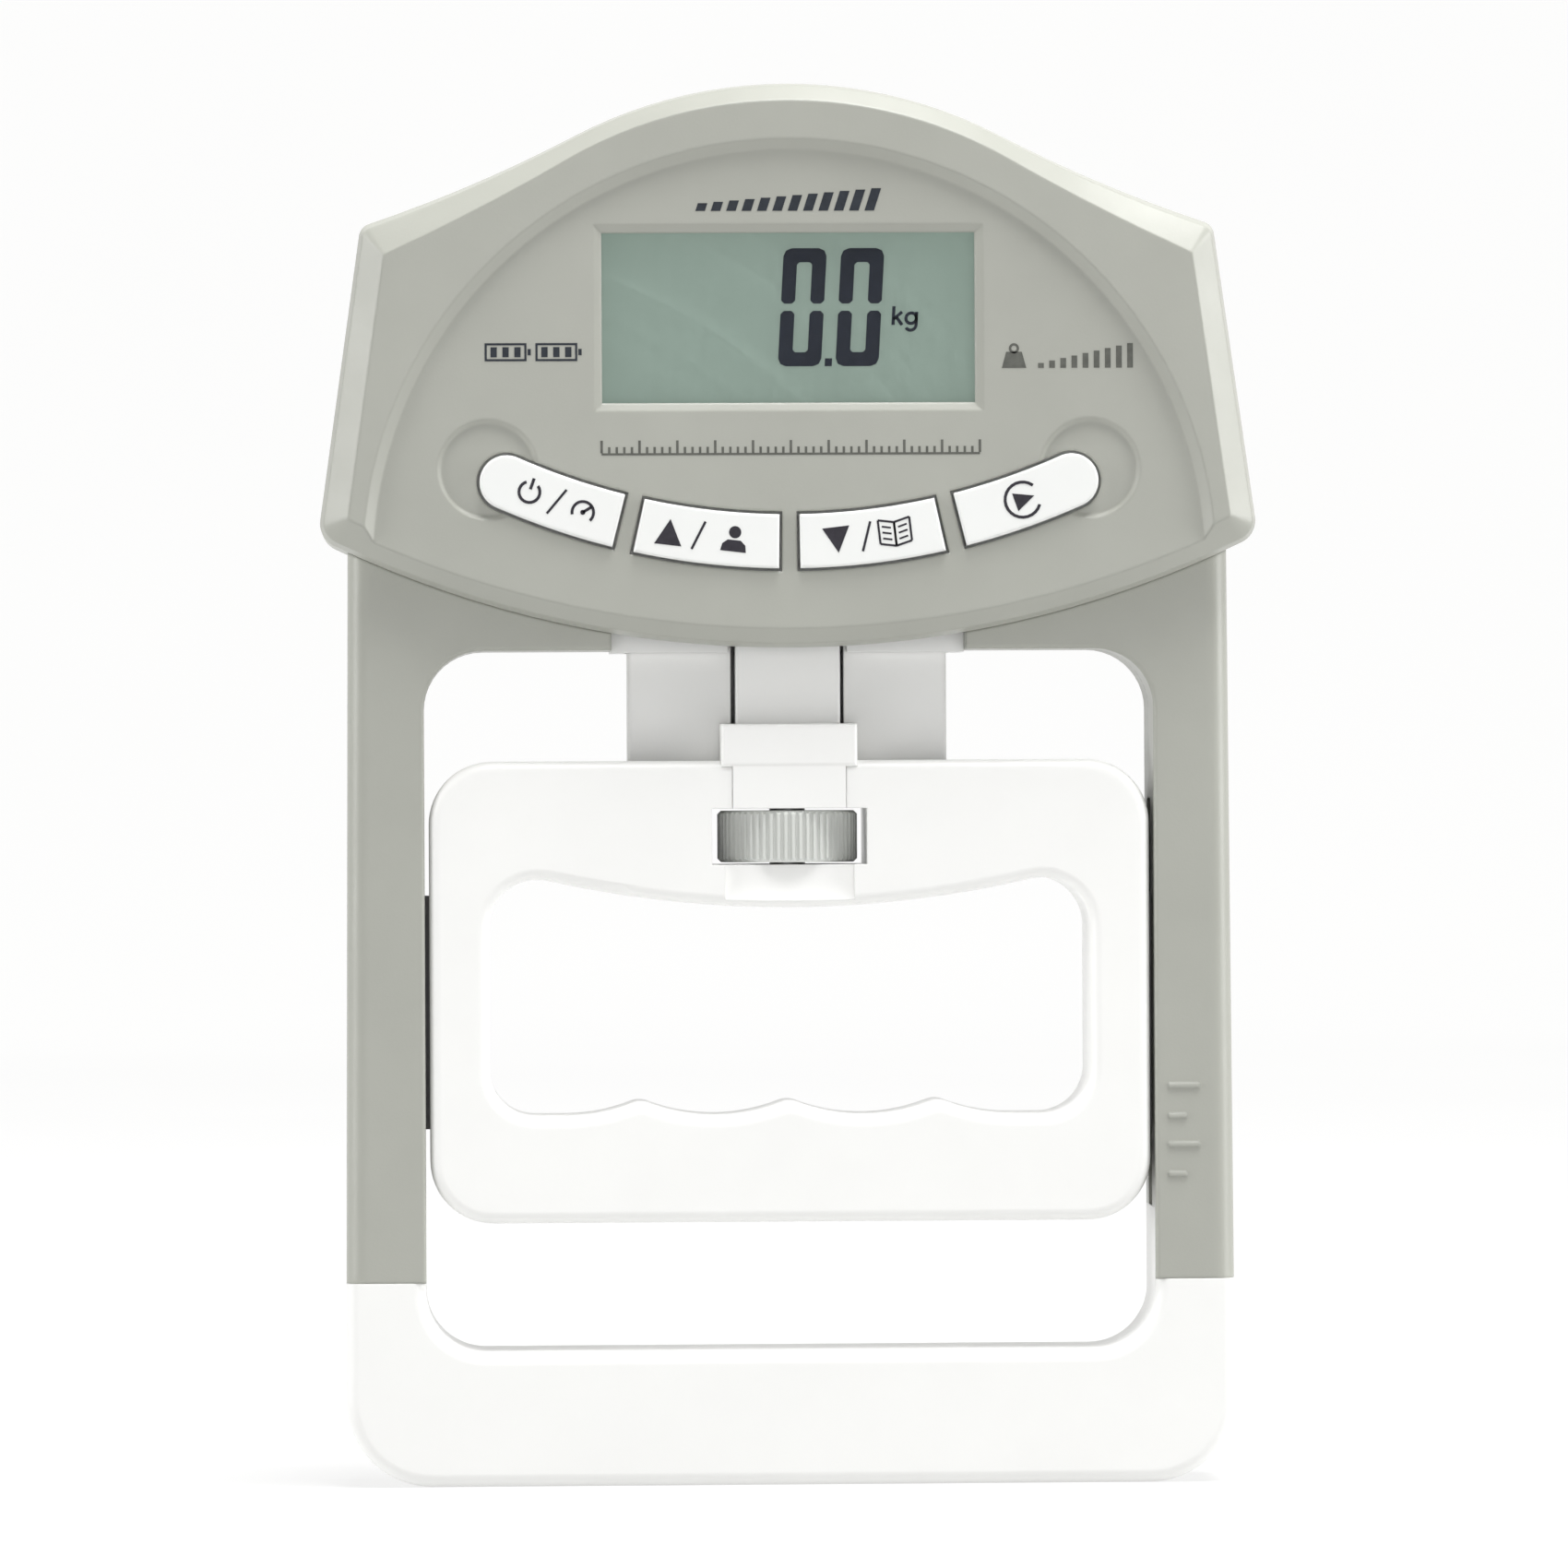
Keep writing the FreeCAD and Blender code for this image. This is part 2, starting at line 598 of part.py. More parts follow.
def grip_shell(front, back, outer_y):
    """One half of the outer grip, with tabs that stand up inside the legs."""
    shell = slab(grip_face(), front, back)
    shell = round_edges(shell, 1.8, lambda e: lies_at_y(outer_y)(e) and e.BoundBox.ZMin < SEAM - 0.1)
    tab_y = (max(front, -TAB_HALF_Y), min(back, TAB_HALF_Y))
    tabs = pair(block(LEG_INNER, LEG_INNER + WALL - 0.1, tab_y[0], tab_y[1], SEAM - 2, TAB_TOP))
    hollow = slab(grip_face(WALL), max(front, BODY_FRONT + WALL), min(back, BODY_BACK - WALL))
    return union([shell.cut(hollow)] + tabs)


def grip_front_shell():
    shell = union([grip_shell(BODY_FRONT, 0, BODY_FRONT)] + posts(GRIP_SCREWS, BODY_FRONT + WALL, 0))
    for cut in pilots(GRIP_SCREWS):
        shell = shell.cut(cut)
    return shell


def grip_rear_shell():
    shell = union([grip_shell(0, BODY_BACK, BODY_BACK)] + rear_posts(GRIP_SCREWS, BODY_BACK, SCREW_SINK))
    for cut in screw_holes(GRIP_SCREWS, BODY_BACK, SCREW_SINK):
        shell = shell.cut(cut)
    return shell


def frame_strap():
    """Steel strap bent to a U, with tabs at the top that carry the load cell's ends."""
    out, top = STRAP_X + STRAP, CELL[0]
    face = rounded_polygon([
        (-out, STRAP_FLOOR, 8.0),
        (out, STRAP_FLOOR, 8.0),
        (out, top, 4.0),
        (STRAP_TAB, top, 0),
        (STRAP_TAB, top - STRAP, 0),
        (STRAP_X, top - STRAP, 2.0),
        (STRAP_X, STRAP_FLOOR + STRAP, 6.0),
        (-STRAP_X, STRAP_FLOOR + STRAP, 6.0),
        (-STRAP_X, top - STRAP, 2.0),
        (-STRAP_TAB, top - STRAP, 0),
        (-STRAP_TAB, top, 0),
        (-out, top, 4.0),
    ])
    strap = slab(face, -STRAP_HALF_Y, STRAP_HALF_Y)
    for x in CELL_SCREWS:
        strap = strap.cut(rod_z(x, 0, 1.5, top - STRAP - 1, top + 1))
    return strap


def load_cell():
    """Aluminium beam, held at both ends and pulled down in the middle."""
    low, high = CELL
    middle = (low + high) / 2
    beam = block(-CELL_HALF_X, CELL_HALF_X, -CELL_HALF_Y, CELL_HALF_Y, low, high)
    for x in (-CELL_EYE, CELL_EYE):
        for offset in (-2.6, 2.6):
            beam = beam.cut(rod_y(x + offset, middle, 4.2, -CELL_HALF_Y - 1, CELL_HALF_Y + 1))
    for x in CELL_SCREWS:
        beam = beam.cut(rod_z(x, 0, 1.6, low - 1, high + 1))
    for x in NUT_SCREWS:
        beam = beam.cut(rod_z(x, 0, 1.0, high - 6, high + 1))
    return beam.cut(rod_z(0, 0, SPINDLE_R + GAP, low - 1, high + 1))


def load_cell_screws():
    """Socket cap screws through the cell's ends into the strap's tabs."""
    made = []
    for x in CELL_SCREWS:
        screw = union([rod_z(x, 0, 1.5, CELL[0] - STRAP, CELL[1]), rod_z(x, 0, 2.7, CELL[1], CELL[1] + 3)])
        made.append(screw.cut(rod_z(x, 0, 1.25, CELL[1] + 1.4, CELL[1] + 4)))
    return Part.makeCompound(made)


def strain_gauges():
    """Foil gauges over the cell's thin webs, two above and two below."""
    top = [block(x - 3, x + 3, -2, 2, CELL[1], CELL[1] + 0.2) for x in (-CELL_EYE, CELL_EYE)]
    low = [block(x - 3, x + 3, -2, 2, CELL[0] - 0.2, CELL[0]) for x in (-CELL_EYE, CELL_EYE)]
    return Part.makeCompound(top + low)


def nut_block():
    """Brass nut on the cell's middle. The spindle screws through it."""
    body = block(-NUT_HALF_X, NUT_HALF_X, -4, 4, NUT[0], NUT[1])
    for x in NUT_SCREWS:
        body = body.cut(rod_z(x, 0, 1.1, NUT[0] - 1, NUT[1] + 1))
        body = body.cut(rod_z(x, 0, 2.0, NUT[1] - NUT_SCREW_SINK, NUT[1] + 1))
    return body.cut(rod_z(0, 0, SPINDLE_R + FIT, NUT[0] - 1, NUT[1] + 1))


def nut_screws():
    made = []
    seat = NUT[1] - NUT_SCREW_SINK
    for x in NUT_SCREWS:
        screw = union([rod_z(x, 0, 1.0, NUT[0] - 5, seat), rod_z(x, 0, 1.9, seat, NUT[1])])
        made.append(screw.cut(block(x - 2, x + 2, -0.25, 0.25, NUT[1] - 0.6, NUT[1] + 1)))
    return Part.makeCompound(made)


def neck_guide():
    """Bush in the head's lower edge that the neck slides through, open in front of the stem."""
    low, high = 116.0, 122.0
    front, back = TONGUE_Y[0] - GAP, TONGUE_Y[1] + GAP
    body = block(-ARM_END, ARM_END, front - 1.4, back + 1.6, low, high)
    tongue = block(-TONGUE_HALF - GAP, TONGUE_HALF + GAP, front, back, low - 1, high + 1)
    stem = block(-STEM_HALF - 1, STEM_HALF + 1, -5, 1, low - 1, high + 1)
    return body.cut(tongue).cut(stem)


# ---- electronics -----------------------------------------------------------------------------------------
def lcd_window():
    """Clear lens in the face, with a flange behind the wall."""
    seat = FACE_INNER - GLASS_POCKET_DEPTH
    half, low, high = WINDOW_HALF - 0.1, WINDOW_LOW + 0.1, WINDOW_HIGH - 0.1
    pane = block(-half, half, FACE + WINDOW_LIP_DEPTH, seat, low, high)
    lap = 1.7
    flange = block(-half - lap, half + lap, seat, LENS_FLANGE, low - lap, high + lap)
    return union([pane, flange])


def lcd_glass():
    """Two bonded sheets; the rear one is longer for its contact edge."""
    front, back = GLASS
    middle = (front + back) / 2
    near = block(-28.6, 28.6, front, middle, 149.4, 175.4)
    far = block(-28.6, 28.6, middle, back, 147.6, 177.0)
    return union([near, far])


def zebra_strips():
    """Elastomer strips that press the glass's contacts onto the board."""
    strips = [block(-27, 27, GLASS[1], BOARD[0], z - 1.1, z + 1.1) for z in (149.0, 175.6)]
    return Part.makeCompound(strips)


def main_board():
    plan = head_face(5.0).common(block(-50, 50, -1, 1, 118, 180))
    board = slab(plan.Faces[0], BOARD[0], BOARD[1])
    for x, z in BOARD_SCREWS:
        board = board.cut(rod_y(x, z, 1.15, BOARD[0] - 1, BOARD[1] + 1))
    return board


def board_screws():
    made = []
    for x, z in BOARD_SCREWS:
        shank = rod_y(x, z, BOARD_SCREW_R, BOARD[0] - BOARD_SCREW_REACH, BOARD[1])
        screw = union([shank, rod_y(x, z, 1.7, BOARD[1], BOARD[1] + 1.2)])
        made.append(screw.cut(block(x - 1.2, x + 1.2, BOARD[1] + 0.6, BOARD[1] + 2, z - 0.2, z + 0.2)))
    return Part.makeCompound(made)


def key_switches():
    """Tact switches on the board, one behind each key."""
    made = []
    for name in key_plans():
        at = key_centre(name)
        case = block(at.x - 2.4, at.x + 2.4, BOARD[0] - SWITCH_CASE, BOARD[0], at.z - 2.4, at.z + 2.4)
        made.append(union([case, rod_y(at.x, at.z, 1.2, BOARD[0] - SWITCH_HEIGHT, BOARD[0] - SWITCH_CASE)]))
    return Part.makeCompound(made)


def board_components():
    """Chips, crystal and capacitors on the back of the board."""
    back = BOARD[1]
    chips = [
        block(-38, -31, back, back + 1.4, 163, 170),
        block(-24, -19, back, back + 1.2, 165, 169),
        block(20, 26, back, back + 1.3, 165, 171),
        block(31, 35, back, back + 2.0, 164, 174),
    ]
    cans = [rod_y(x, z, 2.0, back, back + 5.0) for x, z in ((39, 166), (39, 171.5))]
    return Part.makeCompound(chips + cans)


def controller_blob():
    """Epoxy over the bonded controller chip."""
    ball = Part.makeSphere(9.0, V(-14, BOARD[1] - 7.0, 173))
    return ball.common(block(-30, 0, BOARD[1], BOARD[1] + 3, 160, 186))


def battery_cell(level):
    """One AAA cell lying along X, its cap towards +X or -X in turn."""
    z = BATTERY_Z[level]
    way = 1 if level == 0 else -1
    start = V(-way * BATTERY_LENGTH / 2, BATTERY_Y, z)
    can = Part.makeCylinder(BATTERY_R, BATTERY_LENGTH - 1.0, start, V(way, 0, 0))
    can = round_edges(can, 0.6, lambda e: isinstance(e.Curve, Part.Circle))
    cap = Part.makeCylinder(1.9, 1.4, V(way * (BATTERY_LENGTH / 2 - 1.4), BATTERY_Y, z), V(way, 0, 0))
    return union([can, cap])


def contact_springs():
    """Coil contacts against the flat ends of the cells."""
    made = []
    room = POCKET[0] - BATTERY_LENGTH / 2
    for z, way in zip(BATTERY_Z, (-1, 1)):
        wire_r, turns = 0.25, 2.5
        height = room - 3 * wire_r - 0.25
        helix = Part.makeHelix(height / turns, height, 2.8)
        section = Part.Wire(Part.Circle(V(2.8, 0, 0), V(0, 1, 0), wire_r).toShape())
        coil = Part.Wire(helix).makePipeShell([section], True, True)
        coil.rotate(V(0, 0, 0), V(0, 1, 0), 90 * way)
        coil.translate(V(way * (BATTERY_LENGTH / 2 + 0.05 + wire_r), BATTERY_Y, z))
        made.append(coil)
    return Part.makeCompound(made)


def contact_plates():
    """Sprung-steel plates at both ends of the battery space."""
    half, low, high = POCKET
    thick, wide, bump = 0.4, 4.0, 1.5
    front, back = BATTERY_Y - wide, BATTERY_Y + wide
    left = block(-half, -half + thick, front, back, low + 1, high - 1)
    right = [block(half - thick, half, front, back, z - 4.5, z + 4.5) for z in BATTERY_Z]
    bumps = []
    for z, way in zip(BATTERY_Z, (1, -1)):
        x = way * (half - 1.2)
        bumps.append(block(x - 0.8, x + 0.8, BATTERY_Y - bump, BATTERY_Y + bump, z - bump, z + bump))
    return Part.makeCompound([union([left, bumps[1]]), union([right[0], bumps[0]]), right[1]])


def battery_leads():
    """Red and black wires from the battery space to the board."""
    made = []
    outlet = POCKET[0] + POCKET_WALL
    turn = outlet + 5
    for z, low in zip(BATTERY_Z, (157.0, 160.5)):
        path = [V(outlet, 8, z), V(turn, 8, z), V(turn, 0, low), V(turn, BOARD[1], low)]
        made.append(lead(path, 1.8, 0.6))
    return Part.makeCompound(made)


def gauge_leads():
    """Fine wires from the load cell's gauges to the board."""
    made = []
    low, high = CELL[1] + 0.2, CELL[1] + 5.5
    for x in (-17.0, -19.0):
        made.append(lead([V(x, 1, low), V(x, 1, high), V(x, BOARD[1], high)], 1.2, 0.4))
    return Part.makeCompound(made)


# ---- keys ------------------------------------------------------------------------------------------------
def key(name):
    """A key cap with a flange behind the face and a plunger to its switch."""
    front = FACE - KEY_PROUD
    cap = slab(key_plans()[name], front, FACE_INNER + 0.5)
    cap = round_edges(cap, 0.35, lies_at_y(front))
    flange = slab(key_plans(KEY_SLIT + KEY_FLANGE)[name], FACE_INNER + KEY_REST, FACE_INNER + 1.0)
    at = key_centre(name)
    plunger = rod_y(at.x, at.z, 1.6, FACE_INNER + 0.5, BOARD[0] - SWITCH_HEIGHT - KEY_TRAVEL - KEY_REST)
    return union([cap, flange, plunger])


# ---- handle ----------------------------------------------------------------------------------------------
def handle_hole(grow=0.0):
    """Finger opening: bowed top edge, finger grooves below. grow moves it into the material."""
    top_r = HOLE_ROUND_TOP + grow
    low_r = HOLE_ROUND_LOW + grow
    corner = V(HOLE_HALF - HOLE_ROUND_TOP, 0, HOLE_TOP_CORNER - HOLE_ROUND_TOP)
    rise = HOLE_TOP_MID - corner.z
    bow_r = (corner.x ** 2 + rise ** 2 - HOLE_ROUND_TOP ** 2) / (2 * (HOLE_ROUND_TOP - rise))
    bow = V(0, 0, HOLE_TOP_MID + bow_r)
    top_join = toward(corner, bow, top_r)
    low_corner = V(HOLE_HALF - HOLE_ROUND_LOW, 0, FINGER_LOW + HOLE_ROUND_LOW)
    crest_r = FINGER_CREST_R - grow
    valley_r = FINGER_R + grow
    drop = math.sqrt((FINGER_R + FINGER_CREST_R) ** 2 - (FINGER_PITCH / 2) ** 2)
    edges = [
        Part.Arc(V(-top_join.x, 0, top_join.z), V(0, 0, HOLE_TOP_MID + grow), top_join).toShape(),
    ]
    side = [
        arc(corner, top_join, corner + V(top_r, 0, 0)),
        line(corner + V(top_r, 0, 0), low_corner + V(low_r, 0, 0)),
        arc(low_corner, low_corner + V(low_r, 0, 0), low_corner - V(0, 0, low_r)),
    ]
    outer_valley = V(1.5 * FINGER_PITCH, 0, FINGER_LOW + FINGER_R)
    side.append(line(low_corner - V(0, 0, low_r), outer_valley - V(0, 0, valley_r)))
    for k in (-1, 0, 1):
        crest = V(k * FINGER_PITCH, 0, FINGER_LOW + FINGER_R - drop)
        valleys = [crest + V(way * FINGER_PITCH / 2, 0, drop) for way in (-1, 1)]
        joins = [toward(valley, crest, valley_r) for valley in valleys]
        edges.append(Part.Arc(joins[0], crest + V(0, 0, crest_r), joins[1]).toShape())
        if k < 1:
            next_crest = crest + V(FINGER_PITCH, 0, 0)
            edges.append(arc(valleys[1], joins[1], toward(valleys[1], next_crest, valley_r)))
        else:
            side.append(arc(valleys[1], joins[1], valleys[1] - V(0, 0, valley_r)))
    edges += side + [e.mirror(V(0, 0, 0), V(1, 0, 0)) for e in side]
    return face_of(edges)


def handle_plate(inset=0.0):
    half, low, high = HANDLE_HALF - inset, HANDLE_LOW + inset, HANDLE_HIGH - inset
    corners = [(-half, low), (half, low), (half, high), (-half, high)]
    return rounded_polygon([(x, z, HANDLE_ROUND - inset) for x, z in corners])


def handle_ring(front, back, inset=0.0):
    """The handle's frame between two depths, or its hollow when inset is a wall."""
    return slab(handle_plate(inset), front, back).cut(slab(handle_hole(inset), front - 1, back + 1))


def wheel_window():
    low, high = WHEEL_WINDOW
    return block(-WHEEL_WINDOW_HALF, WHEEL_WINDOW_HALF, BODY_FRONT - 1, BODY_BACK + 1, low, high)


def tongue_seat():
    """The pocket in both shells that clamps the foot of the neck tongue."""
    return block(-TONGUE_HALF, TONGUE_HALF, TONGUE_Y[0], TONGUE_Y[1], TONGUE[0], HANDLE_HIGH + 1)


def bush_seats():
    """Bores for the spindle's bushes."""
    upper = rod_z(0, 0, UPPER_BUSH_R, WHEEL_WINDOW[1] - 1, COLLAR[0])
    lower = rod_z(0, 0, LOWER_BUSH_R, SPINDLE[0] - LOWER_BUSH_END, WHEEL_WINDOW[0] + 1)
    return [upper, lower]


def runner_foot(reach):
    """The foot of the right runner, from its seat in the handle's side out to reach."""
    half = GROOVE_HALF - 0.6
    low, high = RUNNER
    return block(HANDLE_HALF - RUNNER_FOOT, reach, -half, half, low + RUNNER_END, high - RUNNER_END)


def handle_half(front, back):
    """One shell of the handle before its screws and fits."""
    outer = front if front < 0 else back
    body = handle_ring(front, back)
    body = round_edges(body, 1.6, lies_at_y(outer))
    hollow = handle_ring(max(front, BODY_FRONT + WALL), min(back, BODY_BACK - WALL), WALL)
    hollow = hollow.cut(block(-TONGUE_HALF - 2, TONGUE_HALF + 2, front - 1, back + 1, CORE_LOW, COLLAR[1]))
    body = body.cut(hollow)
    if front < 0:
        body = union([body] + posts(HANDLE_SCREWS, front + 1, 0))
    else:
        body = union([body] + rear_posts(HANDLE_SCREWS, back, SCREW_SINK))
    cuts = [wheel_window(), tongue_seat()] + bush_seats() + pair(runner_foot(HANDLE_HALF + 1))
    for cut in cuts:
        body = body.cut(cut)
    return body


def handle_front_shell():
    shell = handle_half(BODY_FRONT, 0)
    collar_seat = block(-COLLAR_HALF, COLLAR_HALF, BODY_FRONT - 1, 1, COLLAR[0], HANDLE_HIGH + 1)
    shell = shell.cut(stem_foot(FIT)).cut(collar_seat)
    dish_r, dish_depth, dish_half = 14.0, 1.1, 9.0
    axis = V(-dish_half, BODY_FRONT - dish_r + dish_depth, WHEEL_WINDOW[0])
    shell = shell.cut(Part.makeCylinder(dish_r, 2 * dish_half, axis, V(1, 0, 0)).common(below_wheel()))
    for cut in pilots(HANDLE_SCREWS):
        shell = shell.cut(cut)
    return shell


def handle_rear_shell():
    shell = handle_half(0, BODY_BACK)
    shell = shell.cut(block(-COLLAR_HALF, COLLAR_HALF, -1, STEM_Y[1], COLLAR[0], HANDLE_HIGH + 1))
    for cut in screw_holes(HANDLE_SCREWS, BODY_BACK, SCREW_SINK):
        shell = shell.cut(cut)
    return shell


def below_wheel():
    return block(-WHEEL_R, WHEEL_R, BODY_FRONT - 1, 0, HOLE_TOP_MID - 1, WHEEL_WINDOW[0] + 1)


def stem_foot(grow=0.0):
    """The rib that runs down the handle's front from the collar to the wheel window."""
    half = RIB_HALF + grow
    return block(-half, half, BODY_FRONT - RIB_PROUD, BODY_FRONT + 2.0 + grow, WHEEL_WINDOW[1], COLLAR[0] + 1)


def stem_sleeve():
    """White stem round the spindle, with the collar and rib that lap over the handle's front."""
    stem = block(-STEM_HALF, STEM_HALF, STEM_Y[0], STEM_Y[1], COLLAR[0], STEM_TOP)
    stem = round_edges(stem, 0.5, lambda e: abs(e.BoundBox.ZLength - STEM_TOP + COLLAR[0]) < 1e-4)
    front = BODY_FRONT - COLLAR_PROUD
    collar = block(-COLLAR_HALF, COLLAR_HALF, front, TONGUE_Y[0] - GAP, COLLAR[0], COLLAR[1])
    collar = round_edges(collar, 0.6, lies_at_y(front))
    body = union([stem, collar, stem_foot()])
    return body.cut(rod_z(0, 0, SPINDLE_R + GAP, COLLAR[0] - 8, STEM_TOP + 1))


def neck_tongue():
    """Flat hollow neck behind the stem, which slides up into the head."""
    low, high = TONGUE
    front, back = TONGUE_Y
    body = block(-TONGUE_HALF, TONGUE_HALF, front, back, low, high)
    body = round_edges(body, 0.6, lambda e: abs(e.BoundBox.ZLength - (high - low)) < 1e-4)
    slot = STEM_HALF + STEM_SLIT
    channel = block(-slot, slot, front - 1, STEM_Y[1] + 0.05, low - 1, high + 1)
    wells = pair(block(slot + 1.6, TONGUE_HALF - 1.6, front + 1.6, back - 1.6, HANDLE_HIGH, high + 1))
    return body.cut(channel).cut(wells[0]).cut(wells[1])


def guide_runner(side):
    """Acetal runner clipped in the handle's side, which rides in the leg's groove."""
    reach, half = LEG_INNER + 1.4, GROOVE_HALF - 0.4
    rail = block(HANDLE_HALF, reach, -half, half, RUNNER[0], RUNNER[1])
    rail = round_edges(rail, 0.3, lambda e: e.BoundBox.XMin > reach - 1e-3)
    return pair(union([runner_foot(HANDLE_HALF), rail]))[0 if side > 0 else 1]


def upper_bush():
    low, high = WHEEL_WINDOW[1], COLLAR[0]
    return rod_z(0, 0, UPPER_BUSH_R, low, high).cut(rod_z(0, 0, SPINDLE_R + FIT, low - 1, high + 1))


def lower_bush():
    low, high = SPINDLE[0] - LOWER_BUSH_END, WHEEL_WINDOW[0]
    return rod_z(0, 0, LOWER_BUSH_R, low, high).cut(rod_z(0, 0, SPINDLE_R + FIT, SPINDLE[0] - 0.1, high + 1))


# ---- thumbwheel and spindle ------------------------------------------------------------------------------
def thumbwheel():
    """Knurled wheel keyed to the spindle by a cross pin."""
    low, high = WHEEL
    wheel = rod_z(0, 0, WHEEL_R, low, high)
    rim = [e for e in wheel.Edges if isinstance(e.Curve, Part.Circle)]
    wheel = wheel.makeChamfer(0.5, rim)
    groove = Part.makeCylinder(KNURL_R, high - low + 2, V(WHEEL_R, 0, low - 1))
    grooves = []
    for i in range(KNURLS):
        turned = groove.copy()
        turned.rotate(V(0, 0, 0), V(0, 0, 1), 360.0 * i / KNURLS)
        grooves.append(turned)
    wheel = wheel.cut(Part.makeCompound(grooves))
    return wheel.cut(rod_z(0, 0, SPINDLE_R, low - 1, high + 1)).cut(pin_shape())


def pin_shape():
    middle = (WHEEL[0] + WHEEL[1]) / 2
    return Part.makeCylinder(0.75, 12.0, V(-6, 0, middle), V(1, 0, 0))


def spindle():
    low, high = SPINDLE
    shaft = rod_z(0, 0, SPINDLE_R, low, high)
    ends = [e for e in shaft.Edges if isinstance(e.Curve, Part.Circle)]
    return shaft.makeChamfer(0.4, ends).cut(pin_shape())


PARTS = {
    "head_front_cover": head_front_cover,
    "head_rear_cover": head_rear_cover,
    "left_leg_cover": lambda: leg_cover(-1),
    "right_leg_cover": lambda: leg_cover(1),
    "grip_front_shell": grip_front_shell,
    "grip_rear_shell": grip_rear_shell,
    "frame_strap": frame_strap,
    "load_cell": load_cell,
    "load_cell_screws": load_cell_screws,
    "strain_gauges": strain_gauges,
    "nut_block": nut_block,
    "nut_screws": nut_screws,
    "neck_guide": neck_guide,
    "lcd_window": lcd_window,
    "lcd_glass": lcd_glass,
    "zebra_strips": zebra_strips,
    "main_board": main_board,
    "board_screws": board_screws,
    "key_switches": key_switches,
    "board_components": board_components,
    "controller_blob": controller_blob,
    "lower_battery": lambda: battery_cell(0),
    "upper_battery": lambda: battery_cell(1),
    "contact_springs": contact_springs,
    "contact_plates": contact_plates,
    "battery_leads": battery_leads,
    "gauge_leads": gauge_leads,
    "battery_cover": battery_cover,
    "head_screws": lambda: screws(HEAD_SCREWS, HEAD_BACK - HEAD_SCREW_SINK),
    "leg_screws": lambda: screws(LEG_SCREWS, BODY_BACK - SCREW_SINK),
    "grip_screws": lambda: screws(GRIP_SCREWS, BODY_BACK - SCREW_SINK),
    "power_key": lambda: key("power_key"),
    "up_key": lambda: key("up_key"),
    "down_key": lambda: key("down_key"),
    "start_key": lambda: key("start_key"),
    "handle_front_shell": handle_front_shell,
    "handle_rear_shell": handle_rear_shell,
    "handle_screws": lambda: screws(HANDLE_SCREWS, BODY_BACK - SCREW_SINK),
    "stem_sleeve": stem_sleeve,
    "neck_tongue": neck_tongue,
    "left_runner": lambda: guide_runner(-1),
    "right_runner": lambda: guide_runner(1),
    "upper_bush": upper_bush,
    "lower_bush": lower_bush,
    "thumbwheel": thumbwheel,
    "spindle": spindle,
    "wheel_pin": pin_shape,
}


def main():
    os.makedirs("parts", exist_ok=True)
    for name, make in PARTS.items():
        shape = make()
        shape.exportStep("parts/" + name + ".step")
        state = "valid" if shape.isValid() else "INVALID"
        print(name, len(shape.Solids), "solids", round(shape.Volume, 1), "mm3", state)


main()
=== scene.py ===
"""Looks of an electronic hand dynamometer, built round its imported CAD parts. Metres, face towards -Y."""

import json
import math

import bmesh
import bpy
from mathutils import Matrix, Vector


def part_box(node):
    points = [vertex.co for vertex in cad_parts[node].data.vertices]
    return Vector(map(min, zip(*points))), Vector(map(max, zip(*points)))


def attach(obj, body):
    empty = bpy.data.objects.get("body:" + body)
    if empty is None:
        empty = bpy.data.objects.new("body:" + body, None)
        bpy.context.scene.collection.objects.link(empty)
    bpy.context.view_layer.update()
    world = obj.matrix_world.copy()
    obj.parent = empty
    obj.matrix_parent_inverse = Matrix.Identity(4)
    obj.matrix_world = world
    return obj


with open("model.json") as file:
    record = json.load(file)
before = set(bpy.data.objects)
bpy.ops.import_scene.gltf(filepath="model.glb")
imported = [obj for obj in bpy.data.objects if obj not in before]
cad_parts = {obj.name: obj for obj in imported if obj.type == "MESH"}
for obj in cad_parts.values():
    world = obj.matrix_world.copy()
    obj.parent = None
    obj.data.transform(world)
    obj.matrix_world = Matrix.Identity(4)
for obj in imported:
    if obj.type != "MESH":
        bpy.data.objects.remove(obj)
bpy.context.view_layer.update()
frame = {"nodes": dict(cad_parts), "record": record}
NODES = frame["nodes"]
MM = 0.001

# where the faces that carry marks stand, from the frame
WINDOW_SUNK = 0.6 * MM              # how far the window lies behind the head's face
FACE_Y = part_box("lcd_window")[0].y - WINDOW_SUNK
KEY_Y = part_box("up_key")[0].y
GLASS_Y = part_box("lcd_glass")[0].y

# the ring the four keys lie along, in millimetres, and where each one sits on it, in degrees
KEY_RING_Z = 227.8
KEY_RING_R = 96.5
KEY_ANGLES = {"power_key": -19.6, "up_key": -6.7, "down_key": 6.7, "start_key": 19.6}

# how thick the marks stand on their faces, and how far their backs lie below them
PRINT = 0.04 * MM
ELECTRODE = 0.06 * MM
MARK_ROOT = 0.05 * MM

# the view
DISTANCE = 1.35
VIEW_SIDE = math.radians(2.15)      # how far the camera stands to the left of the face's normal
VIEW_ROLL = math.radians(0.28)
VIEW_WIDTH = 0.2198                 # what the picture spans at the object
AIM = Vector((-0.0004, 0, 0.0976))
SENSOR = 36.0

# place, size and power of each light
LIGHTS = {
    "top_box": ((0.25, -0.25, 1.6), (0.9, 0.7), 37.0),
    "right_box": ((1.3, -0.25, 0.45), (0.6, 1.0), 12.5),
    "left_box": ((-1.35, -0.3, 0.45), (0.6, 1.0), 10.5),
    "front_fill": ((0.0, -1.5, 0.15), (1.2, 0.6), 3.8),
}


